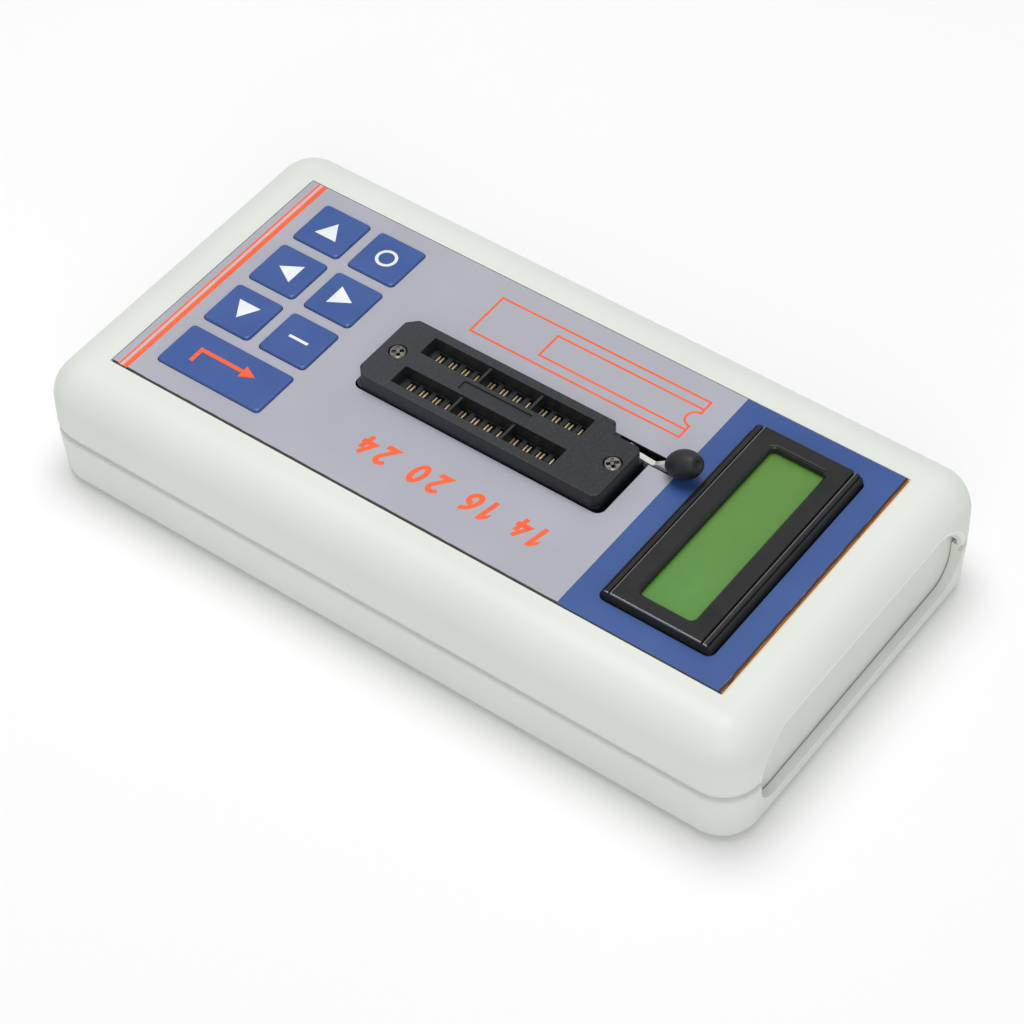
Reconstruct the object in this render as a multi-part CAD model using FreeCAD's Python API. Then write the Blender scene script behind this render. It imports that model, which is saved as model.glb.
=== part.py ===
import FreeCAD, Part
import math
import os

# Handheld tester for integrated circuits, in millimetres.
# +Z is up, +Y points to the display end, +X is to the right of a user at the key end.
# The origin is the middle of the underside.

# Keys and front film, along the width
KEY_SIDE = 9.5
KEY_GAP = 2.02
KEY_CORNER = 0.9
KEY_EMBOSS = 0.45
KEY_EDGE_ROUND = 0.4
KEY_TRAVEL = 0.3
KEY_FIT = 0.08
KEY_WINDOW_FIT = 0.25
KEY_LEFT_MARGIN = 3.3
KEY_RIGHT_MARGIN = 4.14
KEY_ROWS = 4

# Layout along the length, from the key end of the film to its display end
KEY_END_MARGIN = 5.7
KEY_TO_SOCKET = 8.4
SOCKET_LENGTH = 47.1
SOCKET_TO_DISPLAY = 10.35
BEZEL_DEPTH = 19.8
DISPLAY_TO_EDGE = 5.25

# Front film and its recess
FILM_THICKNESS = 0.4
FILM_RECESS = 0.3
FILM_FIT = 0.25
FILM_MARGIN = 9.25

# Case shells
WALL = 2.2
FLOOR = 2.4
ROOF = 2.2
CORNER_RADIUS = 7.0
TOP_ROUND = 6.8
BOTTOM_ROUND = 2.4
RIM_Z = 10.5
UPPER_RIM_ROUND = 0.3
LOWER_RIM_ROUND = 0.6
SHADOW_GAP = 1.3
SHADOW_DEPTH = 0.7
LOWER_DRAFT = 0.6
LIP_INSET = 1.1
LIP_THICKNESS = 1.0
LIP_HEIGHT = 1.4
SHELL_FIT = 0.1

# Case screws and their posts
POST_RADIUS = 3.8
POST_INSET = 8.2
POST_JOINT_Z = 9.0
POST_FIT = 0.1
POST_ROOT = 0.6
CASE_SCREW_RADIUS = 1.1
CASE_SCREW_HEAD_RADIUS = 2.4
CASE_SCREW_HEAD_HEIGHT = 1.6
CASE_SCREW_LENGTH = 9.0
CASE_SCREW_SEAT_Z = 5.0
SCREW_FIT = 0.05
SCREW_HEAD_CLEARANCE = 0.4
SCREW_SHANK_CLEARANCE = 0.2
SCREW_TIP_ROOM = 1.0

# End window and end panel
WINDOW_HALF = 28.0
WINDOW_BELOW_RIM = 6.0
WINDOW_ABOVE_RIM = 6.6
WINDOW_TOP_CORNER = 7.0
WINDOW_LOW_CORNER = 5.0
WINDOW_EDGE_ROUND = 0.5
PANEL_THICKNESS = 1.2
PANEL_SETBACK = 1.9
PANEL_OVERLAP = 0.6
PANEL_FIT = 0.15
PANEL_RIB = 0.8
PANEL_CORNER = 3.0

# Cells, battery box and door
CELL_DIAMETER = 10.5
CELL_LENGTH = 44.5
CELL_NUB_RADIUS = 1.9
CELL_NUB_LENGTH = 1.0
CELL_EDGE = 0.6
CELL_COUNT = 3
CELL_PITCH = 11.0
CELL_GAP = 0.2
CELL_SIDE_GAP = 0.6
CONTACT_DEPTH = 2.6
CONTACT_SHEET = 0.4
CONTACT_GAP = 0.1
CONTACT_SIDE = 8.0
CONTACT_BOSS_RADIUS = 2.2
SPRING_STRIP_WIDTH = 3.0
SPRING_RISE = 6.0
BOX_WALL = 1.2
BOX_ROOF = 0.8
BOX_SETBACK = 4.6
DOOR_THICKNESS = 2.0
DOOR_RECESS = 0.2
DOOR_FIT = 0.15
DOOR_TONGUE = 1.2
DOOR_TONGUE_LOW = 0.95
DOOR_TONGUE_HIGH = 1.6
GRIP_COUNT = 5
GRIP_PITCH = 2.2
GRIP_HALF = 8.0
GRIP_WIDTH = 1.0
GRIP_DEPTH = 0.5
GRIP_FROM_END = 8.0

# Main board
BOARD_THICKNESS = 1.6
BOARD_CLEAR = 0.3
BOARD_MARGIN = 2.3
BOARD_POST_GAP = 0.4
BOSS_RADIUS = 2.6
BOSS_FROM_EDGE = 2.4
BOSS_KEY_END = 4.6
BOSS_DISPLAY_END = 3.0
BOARD_SCREW_RADIUS = 1.0
BOARD_SCREW_HEAD_RADIUS = 2.0
BOARD_SCREW_HEAD_HEIGHT = 1.3
BOARD_SCREW_LENGTH = 6.0

# Key switches
SWITCH_HEIGHT = 7.55
SWITCH_SIDE = 6.0
SWITCH_BODY = 3.5
SWITCH_CORNER = 0.5
STEM_RADIUS = 1.75
STEM_FIT = 0.1
STEM_FLOOR = 0.9
STEM_ROOM = 0.2
STEM_GAP = 0.05

# Socket for integrated circuits
PIN_PITCH = 2.54
PINS_PER_ROW = 12
PINS_PER_GROUP = 4
ROW_SPACING = 7.62
ROW_SHIFT = -1.75
SOCKET_WIDTH = 15.2
SOCKET_HEIGHT = 11.0
SOCKET_FIT = 0.3
SOCKET_END_GAP = 1.0
OPENING_UNDER_FILM = 0.8
COVER_THICKNESS = 2.6
COVER_CHAMFER = 1.7
COVER_CORNER_ROUND = 0.8
COVER_EDGE_ROUND = 0.3
SLOT_WIDTH = 4.0
SLOT_END = 1.7
DIVIDER = 0.5
DIVIDER_DROP = 0.5
DIVIDER_SHIFT = 0.5
NAMEPLATE_HALF_LENGTH = 6.6
NAMEPLATE_HALF_WIDTH = 1.0
NAMEPLATE_SHIFT = 0.5
NAMEPLATE_DEPTH = 0.4
TONGUE_START = 5.8
TONGUE_STEP = 2.4
TONGUE_CORNER = 1.0
SOCKET_SCREW_FROM_START = 3.05
SOCKET_SCREW_FROM_END = 2.2
SOCKET_SCREW_RADIUS = 1.0
SOCKET_SCREW_HEAD_RADIUS = 1.5
SOCKET_SCREW_HEAD_HEIGHT = 1.0
SOCKET_SCREW_EDGE = 0.3
SOCKET_SCREW_LENGTH = 7.0
CROSS_LENGTH = 2.0
CROSS_WIDTH = 0.55
CROSS_DEPTH = 0.55
BASE_FLOOR = 1.2
BASE_WALL = 1.0
BASE_CORNER = 1.2

# Contacts and slide of the socket
BLADE_THICKNESS = 0.25
BLADE_GAP = 0.45
BLADE_WIDTH = 3.0
BLADE_DROP = 0.3
BLADE_ROOT = 0.7
TAIL_THICKNESS = 0.3
TAIL_WIDTH = 0.6
TAIL_FIT = 0.1
TAIL_BELOW = 0.2
SLIDE_TRAVEL = 0.6
SLIDE_FIT = 0.1
SLIDE_THICKNESS = 2.3
SLIDE_END = 1.5
POCKET_CLEAR = 0.1
POCKET_WIDTH = 3.6

# Lever with its cam shaft and knob
LEVER_INSET = 1.6
LEVER_THICKNESS = 1.0
LEVER_HALF_HEIGHT = 0.75
LEVER_ROOM = 0.3
LEVER_NOTCH_BELOW_FILM = 1.2
PIVOT_FROM_END = 3.8
PIVOT_BELOW_SEAM = 1.8
SHAFT_RADIUS = 1.3
SHAFT_FIT = 0.08
CAM_RADIUS = 1.1
CAM_WIDTH = 2.2
BEARING_LENGTH = 1.0
HUB_RADIUS = 1.6
YOKE_WEB = 0.6
YOKE_CHEEK = 0.7
LEVER_SLOT_FIT = 0.4
LEVER_SLOT_UNDER_KNOB = 1.4
ARM_TOP_Y = 2.4
ARM_TOP_RISE = 0.75
ARM_DIP_TO_KNOB = 2.9
ARM_DIP_BELOW_FILM = 0.95
KNOB_DIAMETER = 4.9
KNOB_END_DIAMETER = 2.7
KNOB_LENGTH = 6.0
KNOB_END_ROUND = 0.3
KNOB_DIMPLE_RADIUS = 1.2
KNOB_DIMPLE_DEPTH = 0.3
KNOB_TILT = 32.0
KNOB_TO_BEZEL = 3.3
KNOB_ABOVE_FILM = 3.05
KNOB_BORE_FIT = 0.05
TANG_LENGTH = 4.0

# Display module
BEZEL_WIDTH = 41.8
BEZEL_HEIGHT = 6.0
BEZEL_PROUD = 1.9
BEZEL_SHEET = 0.6
BEZEL_TOP_THICKNESS = 1.4
BEZEL_SHOULDER = 1.7
BEZEL_SHOULDER_DROP = 0.15
BEZEL_SHOULDER_ROUND = 1.1
BEZEL_GROOVE = 0.3
BEZEL_WINDOW_WIDTH = 36.3
BEZEL_WINDOW_DEPTH = 10.0
BEZEL_WINDOW_CORNER = 1.0
BEZEL_WINDOW_BEVEL = 0.4
BEZEL_TAB_HALF = 4.5
BEZEL_TAB_NOTCH = 3.0
DISPLAY_OPENING_FIT = 0.5
DISPLAY_OPENING_CORNER = 1.4
GLASS_THICKNESS = 2.2
GLASS_FIT = 0.2
LCD_BOARD_WIDTH = 48.0
LCD_BOARD_DEPTH = 26.0
LCD_BOARD_THICKNESS = 1.6
STRIP_WIDTH = 2.0
STRIP_INSET = 1.2
LIGHT_GAP = 0.4
HEADER_PINS = 14
HEADER_STRIP = 2.4
HEADER_FROM_EDGE = 1.6
PIN_SIDE = 0.64
PIN_HOLE_RADIUS = 0.55
PIN_ABOVE = 0.8
SPACER_RADIUS = 2.0
SPACER_FROM_EDGE = 2.6

# Parts on the main board
CHIP_SIDE = 12.0
CHIP_THICKNESS = 1.4
CHIP_STANDOFF = 0.1
CHIP_LEADS_PER_SIDE = 11
CHIP_LEAD_PITCH = 0.8
CHIP_LEAD_WIDTH = 0.35
CHIP_LEAD_REACH = 1.0
CHIP_LEAD_HEIGHT = 0.55
CHIP_X = 20.0
CHIP_Y = -6.0
CRYSTAL_LENGTH = 10.2
CRYSTAL_WIDTH = 4.0
CRYSTAL_HEIGHT = 3.5
CRYSTAL_END_RADIUS = 1.9
CRYSTAL_GAP = 3.0
REGULATOR_LENGTH = 6.5
REGULATOR_WIDTH = 3.5
REGULATOR_HEIGHT = 1.7
REGULATOR_CORNER = 0.35
REGULATOR_X = -20.0
REGULATOR_Y = 6.0
CAPACITOR_RADIUS = 2.5
CAPACITOR_HEIGHT = 4.4
CAPACITOR_COUNT = 2
CAPACITOR_PITCH = 7.0
CAPACITOR_Y = -8.0
CAN_EDGE = 0.35

# Values that follow from the ones above
KEY_PITCH = KEY_SIDE + KEY_GAP
FILM_WIDTH = KEY_LEFT_MARGIN + KEY_ROWS * KEY_PITCH - KEY_GAP + KEY_RIGHT_MARGIN
KEY_BLOCK = KEY_PITCH + KEY_SIDE
FILM_LENGTH = (KEY_END_MARGIN + KEY_BLOCK + KEY_TO_SOCKET + SOCKET_LENGTH + SOCKET_TO_DISPLAY
               + BEZEL_DEPTH + DISPLAY_TO_EDGE)
FILM_X = FILM_WIDTH / 2
FILM_Y = FILM_LENGTH / 2
HALF_X = FILM_X + FILM_MARGIN
HALF_Y = FILM_Y + FILM_MARGIN
FIRST_KEY_X = -FILM_X + KEY_LEFT_MARGIN + KEY_SIDE / 2
FIRST_KEY_Y = -FILM_Y + KEY_END_MARGIN + KEY_SIDE / 2
SOCKET_Y = -FILM_Y + KEY_END_MARGIN + KEY_BLOCK + KEY_TO_SOCKET + SOCKET_LENGTH / 2
DISPLAY_Y = FILM_Y - DISPLAY_TO_EDGE - BEZEL_DEPTH / 2

CELL_Z = DOOR_THICKNESS + CELL_GAP + CELL_DIAMETER / 2
BOX_CEILING = CELL_Z + CELL_DIAMETER / 2 + CELL_GAP
BOX_TOP = BOX_CEILING + BOX_ROOF
BOX_HALF = (CELL_COUNT - 1) * CELL_PITCH / 2 + CELL_DIAMETER / 2 + CELL_SIDE_GAP
BOX_START = -HALF_Y + BOX_SETBACK
BOX_END = BOX_START + CELL_LENGTH + 2 * CONTACT_DEPTH
BOARD_BOTTOM = BOX_TOP + BOARD_CLEAR
BOARD_TOP = BOARD_BOTTOM + BOARD_THICKNESS

RECESS_FLOOR = BOARD_TOP + SWITCH_HEIGHT + STEM_GAP
FILM_TOP = RECESS_FLOOR + FILM_THICKNESS
CASE_TOP = RECESS_FLOOR + FILM_RECESS
CEILING = CASE_TOP - ROOF
UPPER_RIM_Z = RIM_Z + SHADOW_GAP

POST_X = HALF_X - POST_INSET
POST_Y = HALF_Y - POST_INSET
BOARD_X = HALF_X - WALL - BOARD_MARGIN
BOARD_Y = POST_Y - POST_RADIUS - BOARD_POST_GAP

WINDOW_LOW = RIM_Z - WINDOW_BELOW_RIM
WINDOW_HIGH = UPPER_RIM_Z + WINDOW_ABOVE_RIM
PANEL_HALF = WINDOW_HALF + PANEL_OVERLAP
PANEL_OUTSIDE = HALF_Y - PANEL_SETBACK - PANEL_FIT
PANEL_INSIDE = PANEL_OUTSIDE - PANEL_THICKNESS
RIB_INSIDE = PANEL_INSIDE - PANEL_FIT - PANEL_RIB
RIB_HALF = PANEL_HALF + PANEL_FIT + PANEL_RIB

SOCKET_X = SOCKET_WIDTH / 2
SOCKET_START = SOCKET_Y - SOCKET_LENGTH / 2
SOCKET_END = SOCKET_Y + SOCKET_LENGTH / 2
SOCKET_TOP = BOARD_TOP + SOCKET_HEIGHT
SEAM_Z = SOCKET_TOP - COVER_THICKNESS
ROW_HALF = (PINS_PER_ROW - 1) * PIN_PITCH / 2
ROW_Y = SOCKET_Y + ROW_SHIFT
SCREW_START_Y = SOCKET_START + SOCKET_SCREW_FROM_START
SCREW_END_Y = SOCKET_END - SOCKET_SCREW_FROM_END
TONGUE_Y = SOCKET_END - TONGUE_START
SLIDE_TOP = SEAM_Z - SLIDE_FIT
SLIDE_BOTTOM = SLIDE_TOP - SLIDE_THICKNESS
BLADE_PAIR = 2 * BLADE_THICKNESS + BLADE_GAP
POCKET_LENGTH = BLADE_PAIR + SLIDE_TRAVEL + 2 * POCKET_CLEAR
POCKET_SHIFT = SLIDE_TRAVEL / 2
SLIDE_START = ROW_Y - ROW_HALF - SLIDE_END - SLIDE_TRAVEL
SLIDE_STOP = ROW_Y + ROW_HALF + SLIDE_END + SLIDE_TRAVEL
CAVITY_X = SOCKET_X - BASE_WALL
CAVITY_START = SLIDE_START - SLIDE_TRAVEL - SLIDE_FIT
CAVITY_END = SLIDE_STOP + SLIDE_FIT

PIVOT_Y = SOCKET_END - PIVOT_FROM_END
PIVOT_Z = SEAM_Z - PIVOT_BELOW_SEAM
LEVER_X = -SOCKET_X + LEVER_INSET
LEVER_LEFT = LEVER_X - LEVER_THICKNESS / 2
LEVER_RIGHT = LEVER_X + LEVER_THICKNESS / 2
CAM_LEFT = LEVER_RIGHT + SLIDE_FIT
CAM_RIGHT = CAM_LEFT + CAM_WIDTH
CHANNEL_RIGHT = CAM_RIGHT + SLIDE_FIT
SHAFT_LEFT = LEVER_LEFT - BEARING_LENGTH
SHAFT_RIGHT = CHANNEL_RIGHT + BEARING_LENGTH
CAM_THROW = SLIDE_TRAVEL / math.sqrt(2)
CAM_Y = PIVOT_Y + SLIDE_TRAVEL / 2
CAM_Z = PIVOT_Z + SLIDE_TRAVEL / 2
KNOB_Y = DISPLAY_Y - BEZEL_DEPTH / 2 - KNOB_TO_BEZEL
KNOB_Z = FILM_TOP + KNOB_ABOVE_FILM
KNOB_COS = math.cos(math.radians(KNOB_TILT))
KNOB_SIN = math.sin(math.radians(KNOB_TILT))

BEZEL_TOP = FILM_TOP + BEZEL_PROUD
LCD_BOARD_TOP = BEZEL_TOP - BEZEL_HEIGHT
LCD_BOARD_BOTTOM = LCD_BOARD_TOP - LCD_BOARD_THICKNESS
GLASS_TOP = BEZEL_TOP - BEZEL_TOP_THICKNESS - GLASS_FIT
GLASS_BOTTOM = GLASS_TOP - GLASS_THICKNESS

Z_AXIS = FreeCAD.Vector(0, 0, 1)
X_AXIS = FreeCAD.Vector(1, 0, 0)
Y_AXIS = FreeCAD.Vector(0, 1, 0)
OVER = 1.0
TOLERANCE = 1e-4

# The square keys, row by row across the width; each row runs along the length
KEY_GRID = (("key_left", "key_ring"), ("key_down", "key_up"), ("key_right", "key_bar"))


# Small tools for shapes

def vec(x, y, z):
    return FreeCAD.Vector(x, y, z)


def box(x0, x1, y0, y1, z0, z1):
    return Part.makeBox(x1 - x0, y1 - y0, z1 - z0, vec(x0, y0, z0))


def post(x, y, z0, z1, radius):
    return Part.makeCylinder(radius, z1 - z0, vec(x, y, z0), Z_AXIS)


def rod(x0, x1, y, z, radius):
    return Part.makeCylinder(radius, x1 - x0, vec(x0, y, z), X_AXIS)


def rounded_outline(half_x, half_y, radius, z, x=0.0, y=0.0):
    """A closed rectangle with round corners, lying flat at height z."""
    edges = []
    corners = ((1, 1, 0), (-1, 1, 90), (-1, -1, 180), (1, -1, 270))
    ends = []
    for side_x, side_y, start in corners:
        centre = vec(x + side_x * (half_x - radius), y + side_y * (half_y - radius), z)
        places = []
        for turn in (0, 45, 90):
            angle = math.radians(start + turn)
            places.append(centre + vec(radius * math.cos(angle), radius * math.sin(angle), 0))
        edges.append(Part.Arc(*places).toShape())
        ends.append((places[0], places[2]))
    for index in range(len(ends)):
        following = ends[(index + 1) % len(ends)]
        edges.append(Part.makeLine(ends[index][1], following[0]))
    return Part.Wire(Part.__sortEdges__(edges))


def slab(half_x, half_y, radius, z0, z1, x=0.0, y=0.0):
    face = Part.Face(rounded_outline(half_x, half_y, radius, z0, x, y))
    return face.extrude(vec(0, 0, z1 - z0))


def plate_of(points, z0, z1):
    """A flat plate with a straight-sided outline, given as X and Y pairs."""
    corners = [vec(px, py, z0) for px, py in points]
    return Part.Face(Part.makePolygon(corners + corners[:1])).extrude(vec(0, 0, z1 - z0))


def bar_of(points, x0, x1):
    """A bar along X with a straight-sided section, given as Y and Z pairs."""
    corners = [vec(x0, py, pz) for py, pz in points]
    return Part.Face(Part.makePolygon(corners + corners[:1])).extrude(vec(x1 - x0, 0, 0))


def level_edges(shape, z):
    return [edge for edge in shape.Edges if all(abs(v.Z - z) < 1e-6 for v in edge.Vertexes)]


def upright_edges(shape):
    chosen = []
    for edge in shape.Edges:
        ends = edge.Vertexes
        if len(ends) == 2 and abs(ends[0].X - ends[1].X) + abs(ends[0].Y - ends[1].Y) < 1e-6:
            chosen.append(edge)
    return chosen


def joined(shapes):
    first = shapes[0]
    return first.fuse(shapes[1:]).removeSplitter() if len(shapes) > 1 else first


def save(name, shape):
    shape.exportStep("parts/" + name + ".step")


def corner_places():
    return [(sx * POST_X, sy * POST_Y) for sx in (-1, 1) for sy in (-1, 1)]


def boss_places():
    boss_x = BOARD_X - BOSS_FROM_EDGE
    low = -BOARD_Y + BOSS_KEY_END
    high = SOCKET_END - BOSS_DISPLAY_END
    return [(sx * boss_x, y) for sx in (-1, 1) for y in (low, high)]


def key_centre(row, column):
    return FIRST_KEY_X + row * KEY_PITCH, FIRST_KEY_Y + column * KEY_PITCH


def key_places():
    """Each key's name, centre and half sizes; the enter key spans both columns."""
    places = {}
    for row, names in enumerate(KEY_GRID):
        for column, name in enumerate(names):
            x, y = key_centre(row, column)
            places[name] = (x, y, KEY_SIDE / 2, KEY_SIDE / 2)
    x, y = key_centre(KEY_ROWS - 1, 0)
    places["key_enter"] = (x, y + KEY_PITCH / 2, KEY_SIDE / 2, KEY_BLOCK / 2)
    return places


def pin_places(side):
    row_x = side * ROW_SPACING / 2
    return [(row_x, ROW_Y - ROW_HALF + index * PIN_PITCH) for index in range(PINS_PER_ROW)]


# Openings that the film and the upper shell share

def socket_opening(extra, z0, z1):
    """The socket's opening with the lever's slot, wider all round by the extra."""
    fit = SOCKET_FIT + extra
    start = SOCKET_START - fit
    end = SOCKET_END + SOCKET_END_GAP + extra
    hole = slab(SOCKET_X + fit, (end - start) / 2, BASE_CORNER + fit, z0, z1, 0, (start + end) / 2)
    lever_slot = box(-SOCKET_X - fit, LEVER_RIGHT + LEVER_SLOT_FIT + extra, SOCKET_END - BASE_CORNER,
                     KNOB_Y - LEVER_SLOT_UNDER_KNOB + extra, z0, z1)
    return hole.fuse(lever_slot)


def display_opening(z0, z1):
    return slab(BEZEL_WIDTH / 2 + DISPLAY_OPENING_FIT, BEZEL_DEPTH / 2 + DISPLAY_OPENING_FIT,
                DISPLAY_OPENING_CORNER, z0, z1, 0, DISPLAY_Y)


def key_openings(gap, z0, z1):
    return [slab(hx + gap, hy + gap, KEY_CORNER, z0, z1, x, y) for x, y, hx, hy in key_places().values()]


# Case

def end_window():
    """The end window as a cutter along Y: large round corners above, small ones below."""
    low = WINDOW_LOW
    high = WINDOW_HIGH
    cutter = box(-WINDOW_HALF, WINDOW_HALF, RIB_INSIDE - PANEL_FIT, HALF_Y + OVER, low, high)
    along = []
    for edge in cutter.Edges:
        if abs(edge.Vertexes[0].Y - edge.Vertexes[1].Y) > OVER:
            along.append(edge)
    upper = [edge for edge in along if edge.Vertexes[0].Z > (low + high) / 2]
    cutter = cutter.makeFillet(WINDOW_TOP_CORNER, upper)
    lower = []
    for edge in cutter.Edges:
        straight = edge.Vertexes[-1].Y - edge.Vertexes[0].Y
        if abs(straight) > OVER and abs(edge.Vertexes[0].Z - low) < 1e-6:
            lower.append(edge)
    return cutter.makeFillet(WINDOW_LOW_CORNER, lower)


def panel_blank(gap):
    blank = box(-PANEL_HALF - gap, PANEL_HALF + gap, PANEL_INSIDE - gap, PANEL_OUTSIDE + gap,
                WINDOW_LOW - PANEL_OVERLAP - gap, WINDOW_HIGH + PANEL_OVERLAP + gap)
    along = []
    for edge in blank.Edges:
        if abs(edge.Vertexes[0].Y - edge.Vertexes[1].Y) > PANEL_THICKNESS / 2:
            along.append(edge)
    return blank.makeFillet(PANEL_CORNER, along)


def panel_rib(z0, z1):
    return box(-RIB_HALF, RIB_HALF, RIB_INSIDE, PANEL_OUTSIDE, z0, z1)


def on_arch(edge):
    """True for an edge where the end window's arch comes out of the case."""
    straight = WINDOW_HALF - WINDOW_TOP_CORNER
    middle = edge.valueAt((edge.FirstParameter + edge.LastParameter) / 2)
    for place in [vertex.Point for vertex in edge.Vertexes] + [middle]:
        across = max(abs(place.x) - straight, 0)
        reach = math.hypot(across, place.z - WINDOW_HIGH + WINDOW_TOP_CORNER)
        if place.y < HALF_Y - WALL / 2 or abs(reach - WINDOW_TOP_CORNER) > TOLERANCE:
            return False
    return True


def outside_rim(edge):
    """True for an edge that isn't one of the end window's own."""
    middle = edge.valueAt((edge.FirstParameter + edge.LastParameter) / 2)
    return middle.y < 0 or abs(middle.x) > WINDOW_HALF


def upper_outer():
    body = slab(HALF_X, HALF_Y, CORNER_RADIUS, UPPER_RIM_Z, CASE_TOP)
    body = body.makeFillet(TOP_ROUND, level_edges(body, CASE_TOP)).cut(end_window())
    body = body.makeFillet(WINDOW_EDGE_ROUND, [edge for edge in body.Edges if on_arch(edge)])
    rim = [edge for edge in level_edges(body, UPPER_RIM_Z) if outside_rim(edge)]
    return body.makeFillet(UPPER_RIM_ROUND, rim)


def upper_shell():
    outer = upper_outer()
    inner = slab(HALF_X - WALL, HALF_Y - WALL, CORNER_RADIUS - WALL, UPPER_RIM_Z - OVER, CEILING)
    inner = inner.makeFillet(TOP_ROUND - WALL, level_edges(inner, CEILING))
    additions = [post(x, y, POST_JOINT_Z + POST_FIT, CEILING + POST_ROOT, POST_RADIUS)
                 for x, y in corner_places()]
    additions += [post(x, y, BOARD_TOP, CEILING + POST_ROOT, BOSS_RADIUS) for x, y in boss_places()]
    rib_top = WINDOW_HIGH + PANEL_OVERLAP + PANEL_FIT + PANEL_RIB
    additions.append(panel_rib(UPPER_RIM_Z, rib_top).common(outer))
    shell = joined([outer.cut(inner)] + additions)
    cutters = [box(-FILM_X - FILM_FIT, FILM_X + FILM_FIT, -FILM_Y - FILM_FIT, FILM_Y + FILM_FIT,
                   RECESS_FLOOR, CASE_TOP + OVER)]
    low = CEILING - OVER
    high = CASE_TOP + OVER
    cutters += [socket_opening(OPENING_UNDER_FILM, low, high), display_opening(low, high)]
    cutters += key_openings(KEY_WINDOW_FIT, low, high)
    screw_top = CASE_SCREW_SEAT_Z + CASE_SCREW_LENGTH + SCREW_TIP_ROOM
    cutters += [post(x, y, POST_JOINT_Z - OVER, screw_top, CASE_SCREW_RADIUS + SCREW_FIT)
                for x, y in corner_places()]
    screw_top = BOARD_BOTTOM + BOARD_SCREW_LENGTH + SCREW_TIP_ROOM
    cutters += [post(x, y, BOARD_TOP - OVER, screw_top, BOARD_SCREW_RADIUS + SCREW_FIT)
                for x, y in boss_places()]
    lip = LIP_INSET - SHELL_FIT
    cutters.append(slab(HALF_X - lip, HALF_Y - lip, CORNER_RADIUS - lip, UPPER_RIM_Z - OVER,
                        UPPER_RIM_Z + LIP_HEIGHT + SHELL_FIT).cut(rim_keep_out()))
    cutters += [end_window(), panel_blank(PANEL_FIT)]
    return shell.cut(cutters)


def rim_keep_out():
    """What the lip's rebate leaves alone: the posts and the ribs beside the end panel."""
    keep = [post(x, y, POST_JOINT_Z, CASE_TOP, POST_RADIUS) for x, y in corner_places()]
    keep.append(panel_rib(UPPER_RIM_Z - OVER, CASE_TOP))
    return joined(keep)


def lower_outer():
    foot = LOWER_DRAFT
    bottom = rounded_outline(HALF_X - foot, HALF_Y - foot, CORNER_RADIUS - foot, 0)
    rim = rounded_outline(HALF_X, HALF_Y, CORNER_RADIUS, RIM_Z)
    body = Part.makeLoft([bottom, rim], True, True)
    body = body.makeFillet(BOTTOM_ROUND, level_edges(body, 0))
    return body.makeFillet(LOWER_RIM_ROUND, level_edges(body, RIM_Z))


def door_rails():
    """The door's channel in the floor: the opening, the side grooves and the front groove."""
    fit = DOOR_FIT
    groove_x = BOX_HALF + DOOR_TONGUE
    low = DOOR_TONGUE_LOW - fit
    high = DOOR_TONGUE_HIGH + fit
    opening = box(-BOX_HALF, BOX_HALF, -HALF_Y - OVER, BOX_END, -OVER, DOOR_THICKNESS + fit)
    groove = box(-groove_x, groove_x, -HALF_Y - OVER, BOX_END + DOOR_TONGUE, low, high)
    return [opening, groove]


def lower_shell():
    inset = LOWER_DRAFT + WALL
    land = SHADOW_DEPTH
    lip_inside = LIP_INSET + LIP_THICKNESS
    lip_top = UPPER_RIM_Z + LIP_HEIGHT
    rings = [lower_outer(),
             slab(HALF_X - land, HALF_Y - land, CORNER_RADIUS - land, RIM_Z, UPPER_RIM_Z),
             slab(HALF_X - LIP_INSET, HALF_Y - LIP_INSET, CORNER_RADIUS - LIP_INSET, UPPER_RIM_Z, lip_top)]
    hollow = joined([slab(HALF_X - inset, HALF_Y - inset, CORNER_RADIUS - inset, FLOOR, RIM_Z),
                     slab(HALF_X - lip_inside, HALF_Y - lip_inside, CORNER_RADIUS - lip_inside, RIM_Z,
                          lip_top + OVER)])
    shell = joined(rings).cut(hollow)
    lip_gap = box(-RIB_HALF - SHELL_FIT, RIB_HALF + SHELL_FIT, RIB_INSIDE - SHELL_FIT, HALF_Y,
                  UPPER_RIM_Z, lip_top + OVER)
    shell = shell.cut(lip_gap)
    additions = [post(x, y, FLOOR - POST_ROOT, POST_JOINT_Z, POST_RADIUS) for x, y in corner_places()]
    additions.append(panel_rib(FLOOR - POST_ROOT, UPPER_RIM_Z - SHELL_FIT).common(lower_outer()))
    additions.append(box(-BOX_HALF - BOX_WALL, BOX_HALF + BOX_WALL, BOX_START - BOX_WALL,
                         BOX_END + BOX_WALL, FLOOR - POST_ROOT, BOX_TOP))
    shell = joined([shell] + additions)
    cutters = [box(-BOX_HALF, BOX_HALF, BOX_START, BOX_END, -OVER, BOX_CEILING)]
    cutters += door_rails()
    for x, y in corner_places():
        cutters.append(post(x, y, -OVER, POST_JOINT_Z + OVER, CASE_SCREW_RADIUS + SCREW_SHANK_CLEARANCE))
        cutters.append(post(x, y, -OVER, CASE_SCREW_SEAT_Z, CASE_SCREW_HEAD_RADIUS + SCREW_HEAD_CLEARANCE))
    cutters += [end_window(), panel_blank(PANEL_FIT)]
    return shell.cut(cutters)


def end_panel():
    return panel_blank(0)


def case_screws():
    screws = []
    for x, y in corner_places():
        seat = CASE_SCREW_SEAT_Z
        head = post(x, y, seat - CASE_SCREW_HEAD_HEIGHT, seat, CASE_SCREW_HEAD_RADIUS)
        shank = post(x, y, seat, seat + CASE_SCREW_LENGTH, CASE_SCREW_RADIUS)
        screws.append(joined([head, shank]))
    return Part.makeCompound(screws)


# Battery door, cells and contacts

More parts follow.
